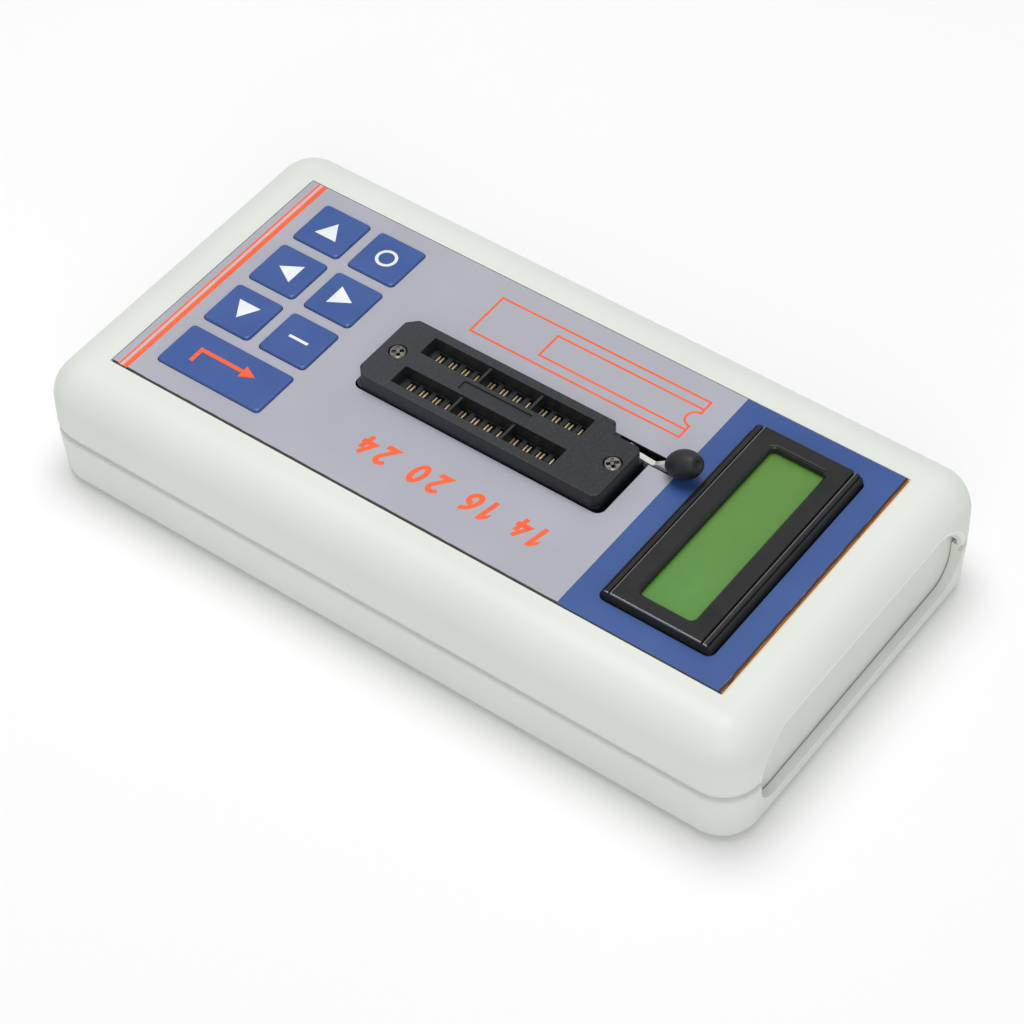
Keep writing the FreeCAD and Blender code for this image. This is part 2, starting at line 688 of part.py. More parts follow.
def battery_door():
    half = BOX_HALF - DOOR_FIT
    tongue = half + DOOR_TONGUE
    front = BOX_END - DOOR_FIT
    sheet = box(-half, half, -HALF_Y, front, DOOR_RECESS, DOOR_THICKNESS)
    rail = box(-tongue, tongue, -HALF_Y, front + DOOR_TONGUE - DOOR_FIT, DOOR_TONGUE_LOW, DOOR_TONGUE_HIGH)
    door = joined([sheet, rail]).common(lower_outer())
    grips = []
    for index in range(GRIP_COUNT):
        y = -HALF_Y + GRIP_FROM_END + index * GRIP_PITCH
        grips.append(box(-GRIP_HALF, GRIP_HALF, y, y + GRIP_WIDTH, 0, DOOR_RECESS + GRIP_DEPTH))
    return door.cut(grips)


def cell_places():
    """Each cell's X and the way its positive end points along Y."""
    first = -(CELL_COUNT - 1) * CELL_PITCH / 2
    return [(first + index * CELL_PITCH, 1 if index % 2 == 0 else -1) for index in range(CELL_COUNT)]


def cell(x, way):
    start = BOX_START + CONTACT_DEPTH
    if way < 0:
        start += CELL_LENGTH
    can_length = CELL_LENGTH - CELL_NUB_LENGTH
    along = Y_AXIS * way
    can = Part.makeCylinder(CELL_DIAMETER / 2, can_length, vec(x, start, CELL_Z), along)
    can = can.makeChamfer(CELL_EDGE, [edge for edge in can.Edges if len(edge.Vertexes) == 1])
    nub_start = vec(x, start + way * can_length, CELL_Z)
    nub = Part.makeCylinder(CELL_NUB_RADIUS, CELL_NUB_LENGTH, nub_start, along)
    return joined([can, nub])


def contact_plate(x, way):
    """A square plate on the box's end wall; way is +1 at the display end of the box."""
    wall = BOX_END if way > 0 else BOX_START
    half = CONTACT_SIDE / 2
    y0, y1 = sorted((wall, wall - way * CONTACT_SHEET))
    return box(x - half, x + half, y0, y1, CELL_Z - half, CELL_Z + half)


def plus_contacts():
    contacts = []
    for x, way in cell_places():
        wall = BOX_END if way > 0 else BOX_START
        length = CONTACT_DEPTH - CONTACT_GAP
        boss = Part.makeCylinder(CONTACT_BOSS_RADIUS, length, vec(x, wall, CELL_Z), Y_AXIS * -way)
        boss = boss.makeChamfer(CONTACT_SHEET, boss.Edges)
        contacts.append(joined([contact_plate(x, way), boss]))
    return Part.makeCompound(contacts)


def minus_springs():
    """A leaf that leans from the plate's foot towards the cell's flat end."""
    springs = []
    for x, way in cell_places():
        wall = BOX_START if way > 0 else BOX_END
        inward = way
        low = CELL_Z - CONTACT_SIDE / 2
        high = low + SPRING_RISE
        reach = wall + inward * (CONTACT_DEPTH - CONTACT_GAP)
        section = [(wall, low), (wall + inward * CONTACT_SHEET, low), (reach, high - CONTACT_SHEET),
                   (reach, high), (reach - inward * CONTACT_SHEET, high), (wall, low + CONTACT_SHEET)]
        leaf = bar_of(section, x - SPRING_STRIP_WIDTH / 2, x + SPRING_STRIP_WIDTH / 2)
        springs.append(joined([contact_plate(x, -way), leaf]))
    return Part.makeCompound(springs)


# Front film and keys

def front_film():
    film = box(-FILM_X, FILM_X, -FILM_Y, FILM_Y, RECESS_FLOOR, FILM_TOP)
    low = RECESS_FLOOR - OVER
    high = FILM_TOP + OVER
    openings = [socket_opening(0, low, high), display_opening(low, high)]
    return film.cut(openings + key_openings(KEY_FIT, low, high))


def key_pad(x, y, half_x, half_y):
    top = FILM_TOP + KEY_EMBOSS
    pad = slab(half_x, half_y, KEY_CORNER, RECESS_FLOOR, top, x, y)
    return pad.makeFillet(KEY_EDGE_ROUND, level_edges(pad, top))


def switch_stem(x, y):
    low = BOARD_TOP + STEM_FLOOR + STEM_ROOM + KEY_TRAVEL
    return post(x, y, low, RECESS_FLOOR - STEM_GAP, STEM_RADIUS)


def switch_housings():
    housings = []
    for x, y, half_x, half_y in key_places().values():
        half = SWITCH_SIDE / 2
        body = slab(half, half, SWITCH_CORNER, BOARD_TOP, BOARD_TOP + SWITCH_BODY, x, y)
        bore = post(x, y, BOARD_TOP + STEM_FLOOR, BOARD_TOP + SWITCH_BODY + OVER, STEM_RADIUS + STEM_FIT)
        housings.append(body.cut(bore))
    return Part.makeCompound(housings)


# Main board and what is soldered to it

def header_places():
    y = DISPLAY_Y + LCD_BOARD_DEPTH / 2 - HEADER_FROM_EDGE
    first = -(HEADER_PINS - 1) * PIN_PITCH / 2
    return [(first + index * PIN_PITCH, y) for index in range(HEADER_PINS)]


def main_board():
    board = box(-BOARD_X, BOARD_X, -BOARD_Y, BOARD_Y, BOARD_BOTTOM, BOARD_TOP)
    low = BOARD_BOTTOM - OVER
    high = BOARD_TOP + OVER
    holes = [post(x, y, low, high, BOARD_SCREW_RADIUS + SCREW_SHANK_CLEARANCE) for x, y in boss_places()]
    holes += [post(x, y, low, high, PIN_HOLE_RADIUS) for x, y in header_places()]
    half_x = TAIL_WIDTH / 2 + TAIL_FIT
    half_y = TAIL_THICKNESS / 2 + TAIL_FIT
    for side in (-1, 1):
        holes += [box(x - half_x, x + half_x, y - half_y, y + half_y, low, high)
                  for x, y in pin_places(side)]
    return board.cut(holes)


def board_screws():
    screws = []
    for x, y in boss_places():
        head = post(x, y, BOARD_BOTTOM - BOARD_SCREW_HEAD_HEIGHT, BOARD_BOTTOM, BOARD_SCREW_HEAD_RADIUS)
        shank = post(x, y, BOARD_BOTTOM, BOARD_BOTTOM + BOARD_SCREW_LENGTH, BOARD_SCREW_RADIUS)
        screws.append(joined([head, shank]))
    return Part.makeCompound(screws)


def controller_chip():
    half = CHIP_SIDE / 2
    low = BOARD_TOP + CHIP_STANDOFF
    body = box(CHIP_X - half, CHIP_X + half, CHIP_Y - half, CHIP_Y + half, low, low + CHIP_THICKNESS)
    reach = half + CHIP_LEAD_REACH
    leads = []
    for index in range(CHIP_LEADS_PER_SIDE):
        shift = (index - (CHIP_LEADS_PER_SIDE - 1) / 2) * CHIP_LEAD_PITCH
        x0 = CHIP_X + shift - CHIP_LEAD_WIDTH / 2
        y0 = CHIP_Y + shift - CHIP_LEAD_WIDTH / 2
        high = BOARD_TOP + CHIP_LEAD_HEIGHT
        leads.append(box(x0, x0 + CHIP_LEAD_WIDTH, CHIP_Y - reach, CHIP_Y + reach, BOARD_TOP, high))
        leads.append(box(CHIP_X - reach, CHIP_X + reach, y0, y0 + CHIP_LEAD_WIDTH, BOARD_TOP, high))
    return joined([body] + leads)


def crystal():
    y = CHIP_Y + CHIP_SIDE / 2 + CHIP_LEAD_REACH + CRYSTAL_GAP
    top = BOARD_TOP + CRYSTAL_HEIGHT
    can = slab(CRYSTAL_LENGTH / 2, CRYSTAL_WIDTH / 2, CRYSTAL_END_RADIUS, BOARD_TOP, top, CHIP_X, y)
    return can.makeChamfer(CAN_EDGE, level_edges(can, top))


def regulator():
    return slab(REGULATOR_LENGTH / 2, REGULATOR_WIDTH / 2, REGULATOR_CORNER, BOARD_TOP,
                BOARD_TOP + REGULATOR_HEIGHT, REGULATOR_X, REGULATOR_Y)


def capacitors():
    cans = []
    top = BOARD_TOP + CAPACITOR_HEIGHT
    for index in range(CAPACITOR_COUNT):
        can = post(REGULATOR_X, CAPACITOR_Y + index * CAPACITOR_PITCH, BOARD_TOP, top, CAPACITOR_RADIUS)
        cans.append(can.makeChamfer(CAN_EDGE, level_edges(can, top)))
    return Part.makeCompound(cans)


# Socket for integrated circuits

def socket_base():
    base = box(-SOCKET_X, SOCKET_X, SOCKET_START, SOCKET_END, BOARD_TOP, SEAM_Z)
    base = base.makeFillet(BASE_CORNER, upright_edges(base))
    floor = BOARD_TOP + BASE_FLOOR
    cutters = [box(-CAVITY_X, CAVITY_X, CAVITY_START, CAVITY_END, floor, SEAM_Z + OVER)]
    channel_end = SOCKET_END - BASE_WALL
    cutters.append(box(-CAVITY_X, CHANNEL_RIGHT, CAVITY_END - OVER, channel_end, floor, SEAM_Z + OVER))
    lever_low = min(PIVOT_Z - HUB_RADIUS, FILM_TOP - ARM_DIP_BELOW_FILM - LEVER_HALF_HEIGHT) - LEVER_ROOM
    cutters.append(box(LEVER_LEFT - LEVER_ROOM, LEVER_RIGHT + LEVER_ROOM, PIVOT_Y, SOCKET_END + OVER,
                       lever_low, SEAM_Z + OVER))
    cutters.append(box(-SOCKET_X - OVER, -SOCKET_X + TONGUE_STEP, TONGUE_Y, SOCKET_END + OVER,
                       FILM_TOP - LEVER_NOTCH_BELOW_FILM, SEAM_Z + OVER))
    bearing = SHAFT_RADIUS + SHAFT_FIT
    cutters.append(rod(-SOCKET_X - OVER, SHAFT_RIGHT + SLIDE_FIT, PIVOT_Y, PIVOT_Z, bearing))
    cutters.append(box(-SOCKET_X - OVER, SHAFT_RIGHT + SLIDE_FIT, PIVOT_Y - bearing, PIVOT_Y + bearing,
                       PIVOT_Z, SEAM_Z + OVER))
    for y in (SCREW_START_Y, SCREW_END_Y):
        cutters.append(post(0, y, SOCKET_TOP - SOCKET_SCREW_LENGTH - SCREW_TIP_ROOM, SEAM_Z + OVER,
                            SOCKET_SCREW_RADIUS + SCREW_FIT))
    half_x = TAIL_WIDTH / 2 + TAIL_FIT
    half_y = TAIL_THICKNESS / 2 + TAIL_FIT
    for side in (-1, 1):
        for x, y in pin_places(side):
            cutters.append(box(x - half_x, x + half_x, y - half_y, y + half_y, BOARD_TOP - OVER,
                               floor + OVER))
    return base.cut(cutters)


def cover_outline():
    """The cover seen from above: cut corners at the key end, the lever's notch at the other."""
    cut = COVER_CHAMFER
    notch_x = -SOCKET_X + TONGUE_STEP
    return [(-SOCKET_X + cut, SOCKET_START), (SOCKET_X - cut, SOCKET_START), (SOCKET_X, SOCKET_START + cut),
            (SOCKET_X, SOCKET_END - TONGUE_CORNER), (SOCKET_X - TONGUE_CORNER, SOCKET_END),
            (notch_x + TONGUE_CORNER, SOCKET_END), (notch_x, SOCKET_END - TONGUE_CORNER),
            (notch_x, TONGUE_Y), (-SOCKET_X, TONGUE_Y - TONGUE_CORNER), (-SOCKET_X, SOCKET_START + cut)]


def slot_spans():
    """The stretches of one slot between its dividers, as pairs of Y values."""
    low = ROW_Y - ROW_HALF - SLOT_END
    high = ROW_Y + ROW_HALF + SLOT_END
    walls = []
    for index in range(PINS_PER_GROUP, PINS_PER_ROW, PINS_PER_GROUP):
        walls.append(ROW_Y - ROW_HALF + (index - 0.5) * PIN_PITCH + DIVIDER_SHIFT)
    starts = [low] + [wall + DIVIDER / 2 for wall in walls]
    stops = [wall - DIVIDER / 2 for wall in walls] + [high]
    return list(zip(starts, stops))


def socket_cover():
    cover = plate_of(cover_outline(), SEAM_Z, SOCKET_TOP)
    cover = cover.makeFillet(COVER_CORNER_ROUND, upright_edges(cover))
    cover = cover.makeFillet(COVER_EDGE_ROUND, level_edges(cover, SOCKET_TOP))
    cutters = []
    half = SLOT_WIDTH / 2
    for side in (-1, 1):
        x = side * ROW_SPACING / 2
        spans = slot_spans()
        for low, high in spans:
            cutters.append(box(x - half, x + half, low, high, SEAM_Z - OVER, SOCKET_TOP + OVER))
        cutters.append(box(x - half, x + half, spans[0][0], spans[-1][1], SOCKET_TOP - DIVIDER_DROP,
                           SOCKET_TOP + OVER))
    plate_y = ROW_Y + NAMEPLATE_SHIFT
    cutters.append(box(-NAMEPLATE_HALF_WIDTH, NAMEPLATE_HALF_WIDTH, plate_y - NAMEPLATE_HALF_LENGTH,
                       plate_y + NAMEPLATE_HALF_LENGTH, SOCKET_TOP - NAMEPLATE_DEPTH, SOCKET_TOP + OVER))
    for y in (SCREW_START_Y, SCREW_END_Y):
        cutters.append(post(0, y, SEAM_Z - OVER, SOCKET_TOP + OVER, SOCKET_SCREW_RADIUS + SCREW_FIT))
        cutters.append(post(0, y, SOCKET_TOP - SOCKET_SCREW_HEAD_HEIGHT, SOCKET_TOP + OVER,
                            SOCKET_SCREW_HEAD_RADIUS + SCREW_FIT))
    return cover.cut(cutters)


def socket_screws():
    screws = []
    for y in (SCREW_START_Y, SCREW_END_Y):
        seat = SOCKET_TOP - SOCKET_SCREW_HEAD_HEIGHT
        head = post(0, y, seat, SOCKET_TOP, SOCKET_SCREW_HEAD_RADIUS)
        head = head.makeChamfer(SOCKET_SCREW_EDGE, level_edges(head, SOCKET_TOP))
        shank = post(0, y, SOCKET_TOP - SOCKET_SCREW_LENGTH, seat, SOCKET_SCREW_RADIUS)
        long = CROSS_LENGTH / 2
        short = CROSS_WIDTH / 2
        bottom = SOCKET_TOP - CROSS_DEPTH
        cross = [box(-long, long, y - short, y + short, bottom, SOCKET_TOP + OVER),
                 box(-short, short, y - long, y + long, bottom, SOCKET_TOP + OVER)]
        screws.append(joined([head, shank]).cut(cross))
    return Part.makeCompound(screws)


def contact_row(side):
    """Each contact is a fork of two blades on one root, with a tail through the board."""
    contacts = []
    root_low = BOARD_TOP + BASE_FLOOR
    root_high = root_low + BLADE_ROOT
    blade_top = SLIDE_TOP - BLADE_DROP
    outer = BLADE_PAIR / 2
    inner = BLADE_GAP / 2
    for x, y in pin_places(side):
        section = [(y - outer, root_low), (y + outer, root_low),
                   (y + outer, blade_top), (y + inner, blade_top),
                   (y + inner, root_high), (y - inner, root_high),
                   (y - inner, blade_top), (y - outer, blade_top)]
        fork = bar_of(section, x - BLADE_WIDTH / 2, x + BLADE_WIDTH / 2)
        tail = box(x - TAIL_WIDTH / 2, x + TAIL_WIDTH / 2, y - TAIL_THICKNESS / 2, y + TAIL_THICKNESS / 2,
                   BOARD_BOTTOM - TAIL_BELOW, root_low)
        contacts.append(joined([fork, tail]))
    return Part.makeCompound(contacts)


def contact_slide():
    """A plate with one pocket for each contact and a yoke that the cam drives."""
    half = CAVITY_X - SLIDE_FIT
    plate = box(-half, half, SLIDE_START, SLIDE_STOP, SLIDE_BOTTOM, SLIDE_TOP)
    cheek = CAM_RADIUS + SHAFT_FIT
    yoke_end = CAM_Y + cheek + YOKE_CHEEK
    yoke_low = PIVOT_Z - CAM_THROW - CAM_RADIUS - SLIDE_FIT - YOKE_WEB
    yoke = box(CAM_LEFT, CAM_RIGHT, SLIDE_STOP - OVER, yoke_end, yoke_low, SLIDE_TOP - SLIDE_FIT)
    cutters = [box(CAM_LEFT - OVER, CAM_RIGHT + OVER, CAM_Y - cheek, CAM_Y + cheek, yoke_low + YOKE_WEB,
                   SLIDE_TOP + OVER)]
    for side in (-1, 1):
        for x, y in pin_places(side):
            centre = y + POCKET_SHIFT
            cutters.append(box(x - POCKET_WIDTH / 2, x + POCKET_WIDTH / 2, centre - POCKET_LENGTH / 2,
                               centre + POCKET_LENGTH / 2, SLIDE_BOTTOM - OVER, SLIDE_TOP + OVER))
    return joined([plate, yoke]).cut(cutters)


def lever_line():
    """The lever's centre line in Y and Z: pivot, crest, dip and the tang inside the knob."""
    tang = KNOB_LENGTH / 2 - TANG_LENGTH
    return [(PIVOT_Y, PIVOT_Z),
            (PIVOT_Y + ARM_TOP_Y, PIVOT_Z + ARM_TOP_RISE),
            (KNOB_Y - KNOB_LENGTH / 2 * KNOB_COS - ARM_DIP_TO_KNOB, FILM_TOP - ARM_DIP_BELOW_FILM),
            (KNOB_Y - tang * KNOB_COS, KNOB_Z - tang * KNOB_SIN)]


def strip_along(points, half_height, x0, x1):
    """A flat strip on edge that follows the points, with round joints."""
    pieces = []
    for (y0, z0), (y1, z1) in zip(points, points[1:]):
        length = math.hypot(y1 - y0, z1 - z0)
        side_y = -(z1 - z0) / length * half_height
        side_z = (y1 - y0) / length * half_height
        section = [(y0 - side_y, z0 - side_z), (y1 - side_y, z1 - side_z),
                   (y1 + side_y, z1 + side_z), (y0 + side_y, z0 + side_z)]
        pieces.append(bar_of(section, x0, x1))
    for y, z in points[1:-1]:
        pieces.append(rod(x0, x1, y, z, half_height))
    return pieces


def socket_lever():
    strip = strip_along(lever_line(), LEVER_HALF_HEIGHT, LEVER_LEFT, LEVER_RIGHT)
    hub = rod(LEVER_LEFT, LEVER_RIGHT, PIVOT_Y, PIVOT_Z, HUB_RADIUS)
    left_journal = rod(SHAFT_LEFT, LEVER_LEFT, PIVOT_Y, PIVOT_Z, SHAFT_RADIUS)
    right_journal = rod(CAM_RIGHT, SHAFT_RIGHT, PIVOT_Y, PIVOT_Z, SHAFT_RADIUS)
    cam = rod(LEVER_RIGHT, CAM_RIGHT, CAM_Y, CAM_Z, CAM_RADIUS)
    return joined(strip + [hub, left_journal, right_journal, cam])


def lever_knob():
    """A barrel turned about the lever's end, with round ends, a dimple and a slot for the tang."""
    half = KNOB_LENGTH / 2
    end_radius = KNOB_END_DIAMETER / 2
    widest = vec(KNOB_DIAMETER / 2, 0, 0)
    belly = Part.Arc(vec(end_radius, 0, -half), widest, vec(end_radius, 0, half)).toShape()
    edges = [Part.makeLine(vec(0, 0, -half), vec(end_radius, 0, -half)), belly,
             Part.makeLine(vec(end_radius, 0, half), vec(0, 0, half)),
             Part.makeLine(vec(0, 0, half), vec(0, 0, -half))]
    barrel = Part.Face(Part.Wire(edges)).revolve(vec(0, 0, 0), Z_AXIS, 360)
    barrel = barrel.makeFillet(KNOB_END_ROUND, level_edges(barrel, -half) + level_edges(barrel, half))
    dimple_z = half + KNOB_DIMPLE_RADIUS - KNOB_DIMPLE_DEPTH
    barrel = barrel.cut(Part.makeSphere(KNOB_DIMPLE_RADIUS, vec(0, 0, dimple_z)))
    turn = FreeCAD.Rotation(X_AXIS, KNOB_TILT - 90)
    barrel.Placement = FreeCAD.Placement(vec(LEVER_X, KNOB_Y, KNOB_Z), turn)
    tang = strip_along(lever_line()[-2:], LEVER_HALF_HEIGHT + KNOB_BORE_FIT, LEVER_LEFT - KNOB_BORE_FIT,
                       LEVER_RIGHT + KNOB_BORE_FIT)
    return barrel.cut(tang)


# Display module

def lcd_bezel():
    half_x = BEZEL_WIDTH / 2
    half_y = BEZEL_DEPTH / 2
    plateau = half_y - BEZEL_SHOULDER
    groove = plateau + BEZEL_GROOVE
    top = BEZEL_TOP
    shoulder = top - BEZEL_SHOULDER_DROP
    right = [(half_y, LCD_BOARD_TOP), (half_y, shoulder), (groove, shoulder), (groove, top - BEZEL_GROOVE),
             (plateau, top - BEZEL_GROOVE), (plateau, top)]
    left = [(-y, z) for y, z in reversed(right)]
    section = [(DISPLAY_Y + y, z) for y, z in right + left]
    frame = bar_of(section, -half_x, half_x)
    sides = [edge for edge in level_edges(frame, shoulder)
             if all(abs(abs(v.Y - DISPLAY_Y) - half_y) < TOLERANCE for v in edge.Vertexes)]
    frame = frame.makeFillet(BEZEL_SHOULDER_ROUND, sides)
    roof = top - BEZEL_TOP_THICKNESS
    inside = box(-half_x + BEZEL_SHEET, half_x - BEZEL_SHEET, DISPLAY_Y - half_y + BEZEL_SHEET,
                 DISPLAY_Y + half_y - BEZEL_SHEET, LCD_BOARD_TOP - OVER, roof)
    window_x = BEZEL_WINDOW_WIDTH / 2
    window_y = BEZEL_WINDOW_DEPTH / 2
    window = slab(window_x, window_y, BEZEL_WINDOW_CORNER, roof - OVER, top + OVER, 0, DISPLAY_Y)
    wide = BEZEL_WINDOW_BEVEL
    narrow_edge = rounded_outline(window_x, window_y, BEZEL_WINDOW_CORNER, top - wide, 0, DISPLAY_Y)
    wide_edge = rounded_outline(window_x + wide, window_y + wide, BEZEL_WINDOW_CORNER + wide, top,
                                0, DISPLAY_Y)
    bevel = Part.makeLoft([narrow_edge, wide_edge], True, True)
    notches = []
    for side in (-1, 1):
        x0, x1 = sorted((side * (half_x - BEZEL_SHEET - OVER), side * (half_x + OVER)))
        notches.append(box(x0, x1, DISPLAY_Y - BEZEL_TAB_HALF, DISPLAY_Y + BEZEL_TAB_HALF,
                           LCD_BOARD_TOP - OVER, LCD_BOARD_TOP + BEZEL_TAB_NOTCH))
    return frame.cut([inside, window, bevel] + notches)


def glass_half():
    return (BEZEL_WIDTH / 2 - BEZEL_SHEET - GLASS_FIT, BEZEL_DEPTH / 2 - BEZEL_SHEET - GLASS_FIT)


def lcd_glass():
    half_x, half_y = glass_half()
    return box(-half_x, half_x, DISPLAY_Y - half_y, DISPLAY_Y + half_y, GLASS_BOTTOM, GLASS_TOP)


def strip_offset():
    return glass_half()[1] - STRIP_INSET - STRIP_WIDTH / 2


def lcd_strips():
    half_x = glass_half()[0]
    strips = []
    for side in (-1, 1):
        y = DISPLAY_Y + side * strip_offset()
        strips.append(box(-half_x, half_x, y - STRIP_WIDTH / 2, y + STRIP_WIDTH / 2, LCD_BOARD_TOP,
                          GLASS_BOTTOM))
    return Part.makeCompound(strips)


def lcd_light():
    half_x = glass_half()[0]
    half_y = strip_offset() - STRIP_WIDTH / 2 - LIGHT_GAP
    return box(-half_x, half_x, DISPLAY_Y - half_y, DISPLAY_Y + half_y, LCD_BOARD_TOP, GLASS_BOTTOM)


def lcd_board():
    half_x = LCD_BOARD_WIDTH / 2
    half_y = LCD_BOARD_DEPTH / 2
    board = box(-half_x, half_x, DISPLAY_Y - half_y, DISPLAY_Y + half_y, LCD_BOARD_BOTTOM, LCD_BOARD_TOP)
    return board.cut([post(x, y, LCD_BOARD_BOTTOM - OVER, LCD_BOARD_TOP + OVER, PIN_HOLE_RADIUS)
                      for x, y in header_places()])


def lcd_header():
    places = header_places()
    half = HEADER_STRIP / 2
    first_x, row_y = places[0]
    last_x = places[-1][0]
    pins = [box(first_x - half, last_x + half, row_y - half, row_y + half, BOARD_TOP, LCD_BOARD_BOTTOM)]
    side = PIN_SIDE / 2
    low = BOARD_BOTTOM - TAIL_BELOW
    high = LCD_BOARD_TOP + PIN_ABOVE
    for x, y in places:
        pins.append(box(x - side, x + side, y - side, y + side, low, high))
    return joined(pins)


def lcd_spacers():
    x = LCD_BOARD_WIDTH / 2 - SPACER_FROM_EDGE
    y = DISPLAY_Y - LCD_BOARD_DEPTH / 2 + SPACER_FROM_EDGE
    return Part.makeCompound([post(side * x, y, BOARD_TOP, LCD_BOARD_BOTTOM, SPACER_RADIUS)
                              for side in (-1, 1)])


def build():
    os.makedirs("parts", exist_ok=True)
    save("upper_shell", upper_shell())
    save("lower_shell", lower_shell())
    save("end_panel", end_panel())
    save("case_screws", case_screws())
    save("battery_door", battery_door())
    for number, (x, way) in enumerate(cell_places(), start=1):
        save("battery_cell_" + str(number), cell(x, way))
    save("cell_plus_contacts", plus_contacts())
    save("cell_minus_springs", minus_springs())
    save("front_film", front_film())
    for name, (x, y, half_x, half_y) in key_places().items():
        save(name, key_pad(x, y, half_x, half_y))
        save(name.replace("key", "stem"), switch_stem(x, y))
    save("switch_housings", switch_housings())
    save("main_board", main_board())
    save("board_screws", board_screws())
    save("controller_chip", controller_chip())
    save("crystal", crystal())
    save("regulator", regulator())
    save("capacitors", capacitors())
    save("socket_base", socket_base())
    save("socket_cover", socket_cover())
    save("socket_screws", socket_screws())
    save("contacts_left", contact_row(-1))
    save("contacts_right", contact_row(1))
    save("contact_slide", contact_slide())
    save("socket_lever", socket_lever())
    save("lever_knob", lever_knob())
    save("lcd_bezel", lcd_bezel())
    save("lcd_glass", lcd_glass())
    save("lcd_strips", lcd_strips())
    save("lcd_light", lcd_light())
    save("lcd_board", lcd_board())
    save("lcd_header", lcd_header())
    save("lcd_spacers", lcd_spacers())


build()
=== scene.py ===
import bmesh
import bpy
import math
from mathutils import Matrix, Vector


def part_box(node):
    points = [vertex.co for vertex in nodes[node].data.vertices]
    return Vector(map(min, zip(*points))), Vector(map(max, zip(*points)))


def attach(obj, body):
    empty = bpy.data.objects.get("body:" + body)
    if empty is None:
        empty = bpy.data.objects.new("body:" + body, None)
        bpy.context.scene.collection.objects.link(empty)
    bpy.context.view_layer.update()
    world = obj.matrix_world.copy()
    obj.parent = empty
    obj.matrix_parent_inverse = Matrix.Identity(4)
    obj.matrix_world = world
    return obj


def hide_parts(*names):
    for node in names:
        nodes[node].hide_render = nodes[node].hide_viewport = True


# The looks of a handheld tester for integrated circuits, built around its CAD frame.
# Lengths are in metres; MM turns a size in millimetres into one. Colours run from 0 to 255.

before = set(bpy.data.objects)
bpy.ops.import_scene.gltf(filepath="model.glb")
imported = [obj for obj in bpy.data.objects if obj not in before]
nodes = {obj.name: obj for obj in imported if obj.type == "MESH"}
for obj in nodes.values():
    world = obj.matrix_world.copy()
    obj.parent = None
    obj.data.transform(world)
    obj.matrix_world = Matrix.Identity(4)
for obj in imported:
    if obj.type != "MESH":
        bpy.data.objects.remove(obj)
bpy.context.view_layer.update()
film_low, film_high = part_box("front_film")

MM = 0.001

# The middle of the socket's contact rows: the camera and the print are placed from it
rows_low, rows_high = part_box("contacts_left")
ROW_PLACE = Vector((0, (rows_low.y + rows_high.y) / 2, 0))

# Camera at the photograph's viewing angle
CAMERA_PLACE = Vector((282.35, 222.97, 402.6)) * MM + ROW_PLACE
CAMERA_AIM = Vector((14.99, 14.84, 23.6)) * MM + ROW_PLACE
CAMERA_ROLL = math.radians(-1.91)
CAMERA_LENS = 116.73
CAMERA_SENSOR = 36.0
CAMERA_CLIP = (10 * MM, 20.0)

# Studio
FLOOR_SIZE = 6.0
WORLD_STRENGTH = 0.44
SOFTBOX_PLACE = Vector((-0.10, -0.08, 1.0))
SOFTBOX_SIZE = 0.6
SOFTBOX_POWER = 5.95
FILL_PLACE = Vector((0.75, 0.55, 0.55))
FILL_SIZE = 0.7
FILL_POWER = 2.1

# Print on the film; the stripes are measured from its key end
INK = 0.02 * MM
INK_SEAT = 0.01 * MM
BLUE_ZONE = 29.65 * MM
STRIPES = {
    "film_stripe_thin": (1.3 * MM, 1.65 * MM, "print_orange"),
    "film_stripe_pale": (1.65 * MM, 2.2 * MM, "print_pale"),
    "film_stripe_wide": (2.25 * MM, 3.1 * MM, "print_orange"),
}
DIAGRAM_LINE = 0.38 * MM
DIAGRAM_OUTER = (-21.7 * MM, -12.7 * MM, -14.05 * MM, 26.75 * MM)
DIAGRAM_INNER = (-19.8 * MM, -14.6 * MM, -1.65 * MM)
DIAGRAM_NOTCH = 1.65 * MM
NOTCH_STEPS = 14
MITRE_LIMIT = 0.3

# Pin counts beside the socket, drawn in strokes on a grid one unit high
NUMBERS = "14 16 20 24"
NUMBERS_MIDDLE = Vector((17.0 * MM, 4.4 * MM, 0))
NUMBERS_LENGTH = 36.4 * MM
NUMBERS_HEIGHT = 4.5 * MM
NUMBERS_SLANT = 0.22
NUMBER_STROKE = 0.2
NUMBER_GAP = 0.3
NUMBER_SPACE = 0.62
NUMBER_STEPS = 12

# Symbols on the keys
KEY_NAMES = ("left", "down", "right", "ring", "up", "bar", "enter")
KEY_TURNS = {"left": 90.0, "down": 180.0, "right": -90.0, "up": 0.0}
ARROW_BASE = 4.34 * MM
ARROW_HEIGHT = 3.64 * MM
RING_RADIUS = 1.65 * MM
RING_STEPS = 40
SYMBOL_LINE = 0.55 * MM
BAR_LENGTH = 3.8 * MM
RETURN_LENGTH = 11.0 * MM
RETURN_RISE = 3.4 * MM
RETURN_TOP = 0.6
RETURN_LINE = 0.75 * MM
RETURN_HEAD = 2.6 * MM

# Film: its backing and its glue, which show along its edges; painted shade in a band along its +X
# edge and on the case's walls in the openings under it
FILM_GREYS = ((170, 170, 181), (176, 176, 187))
FILM_PATCH = 14 * MM
FILM_GRAIN = 0.12 * MM
FILM_ROUGH = (0.36, 0.46)
FILM_RELIEF = 0.002 * MM
FILM_CUT_AND_SHADE = (66, 56, 50)
FILM_BACKING = (46, 20, 10)
FILM_GLUE = (200, 128, 44)
FILM_LAND = 1.5 * MM
CUT_DEPTH = 0.02 * MM
# Width of the painted shade along the film's +X edge
DARK_EDGE = 0.2 * MM
BROWN_EDGE = 0.5 * MM
AMBER_EDGE = 0.03 * MM
EDGE_WANDER = 0.05 * MM
WANDER_PATCH = 2.5 * MM
GLUE_STAIN = (212, 156, 50)
GLUE_SMEAR = 0.6 * MM
GLUE_SHARE = 0.9
# Painted shade on the case's walls in the openings under the film
OPENING_SHADE = (52, 34, 24)
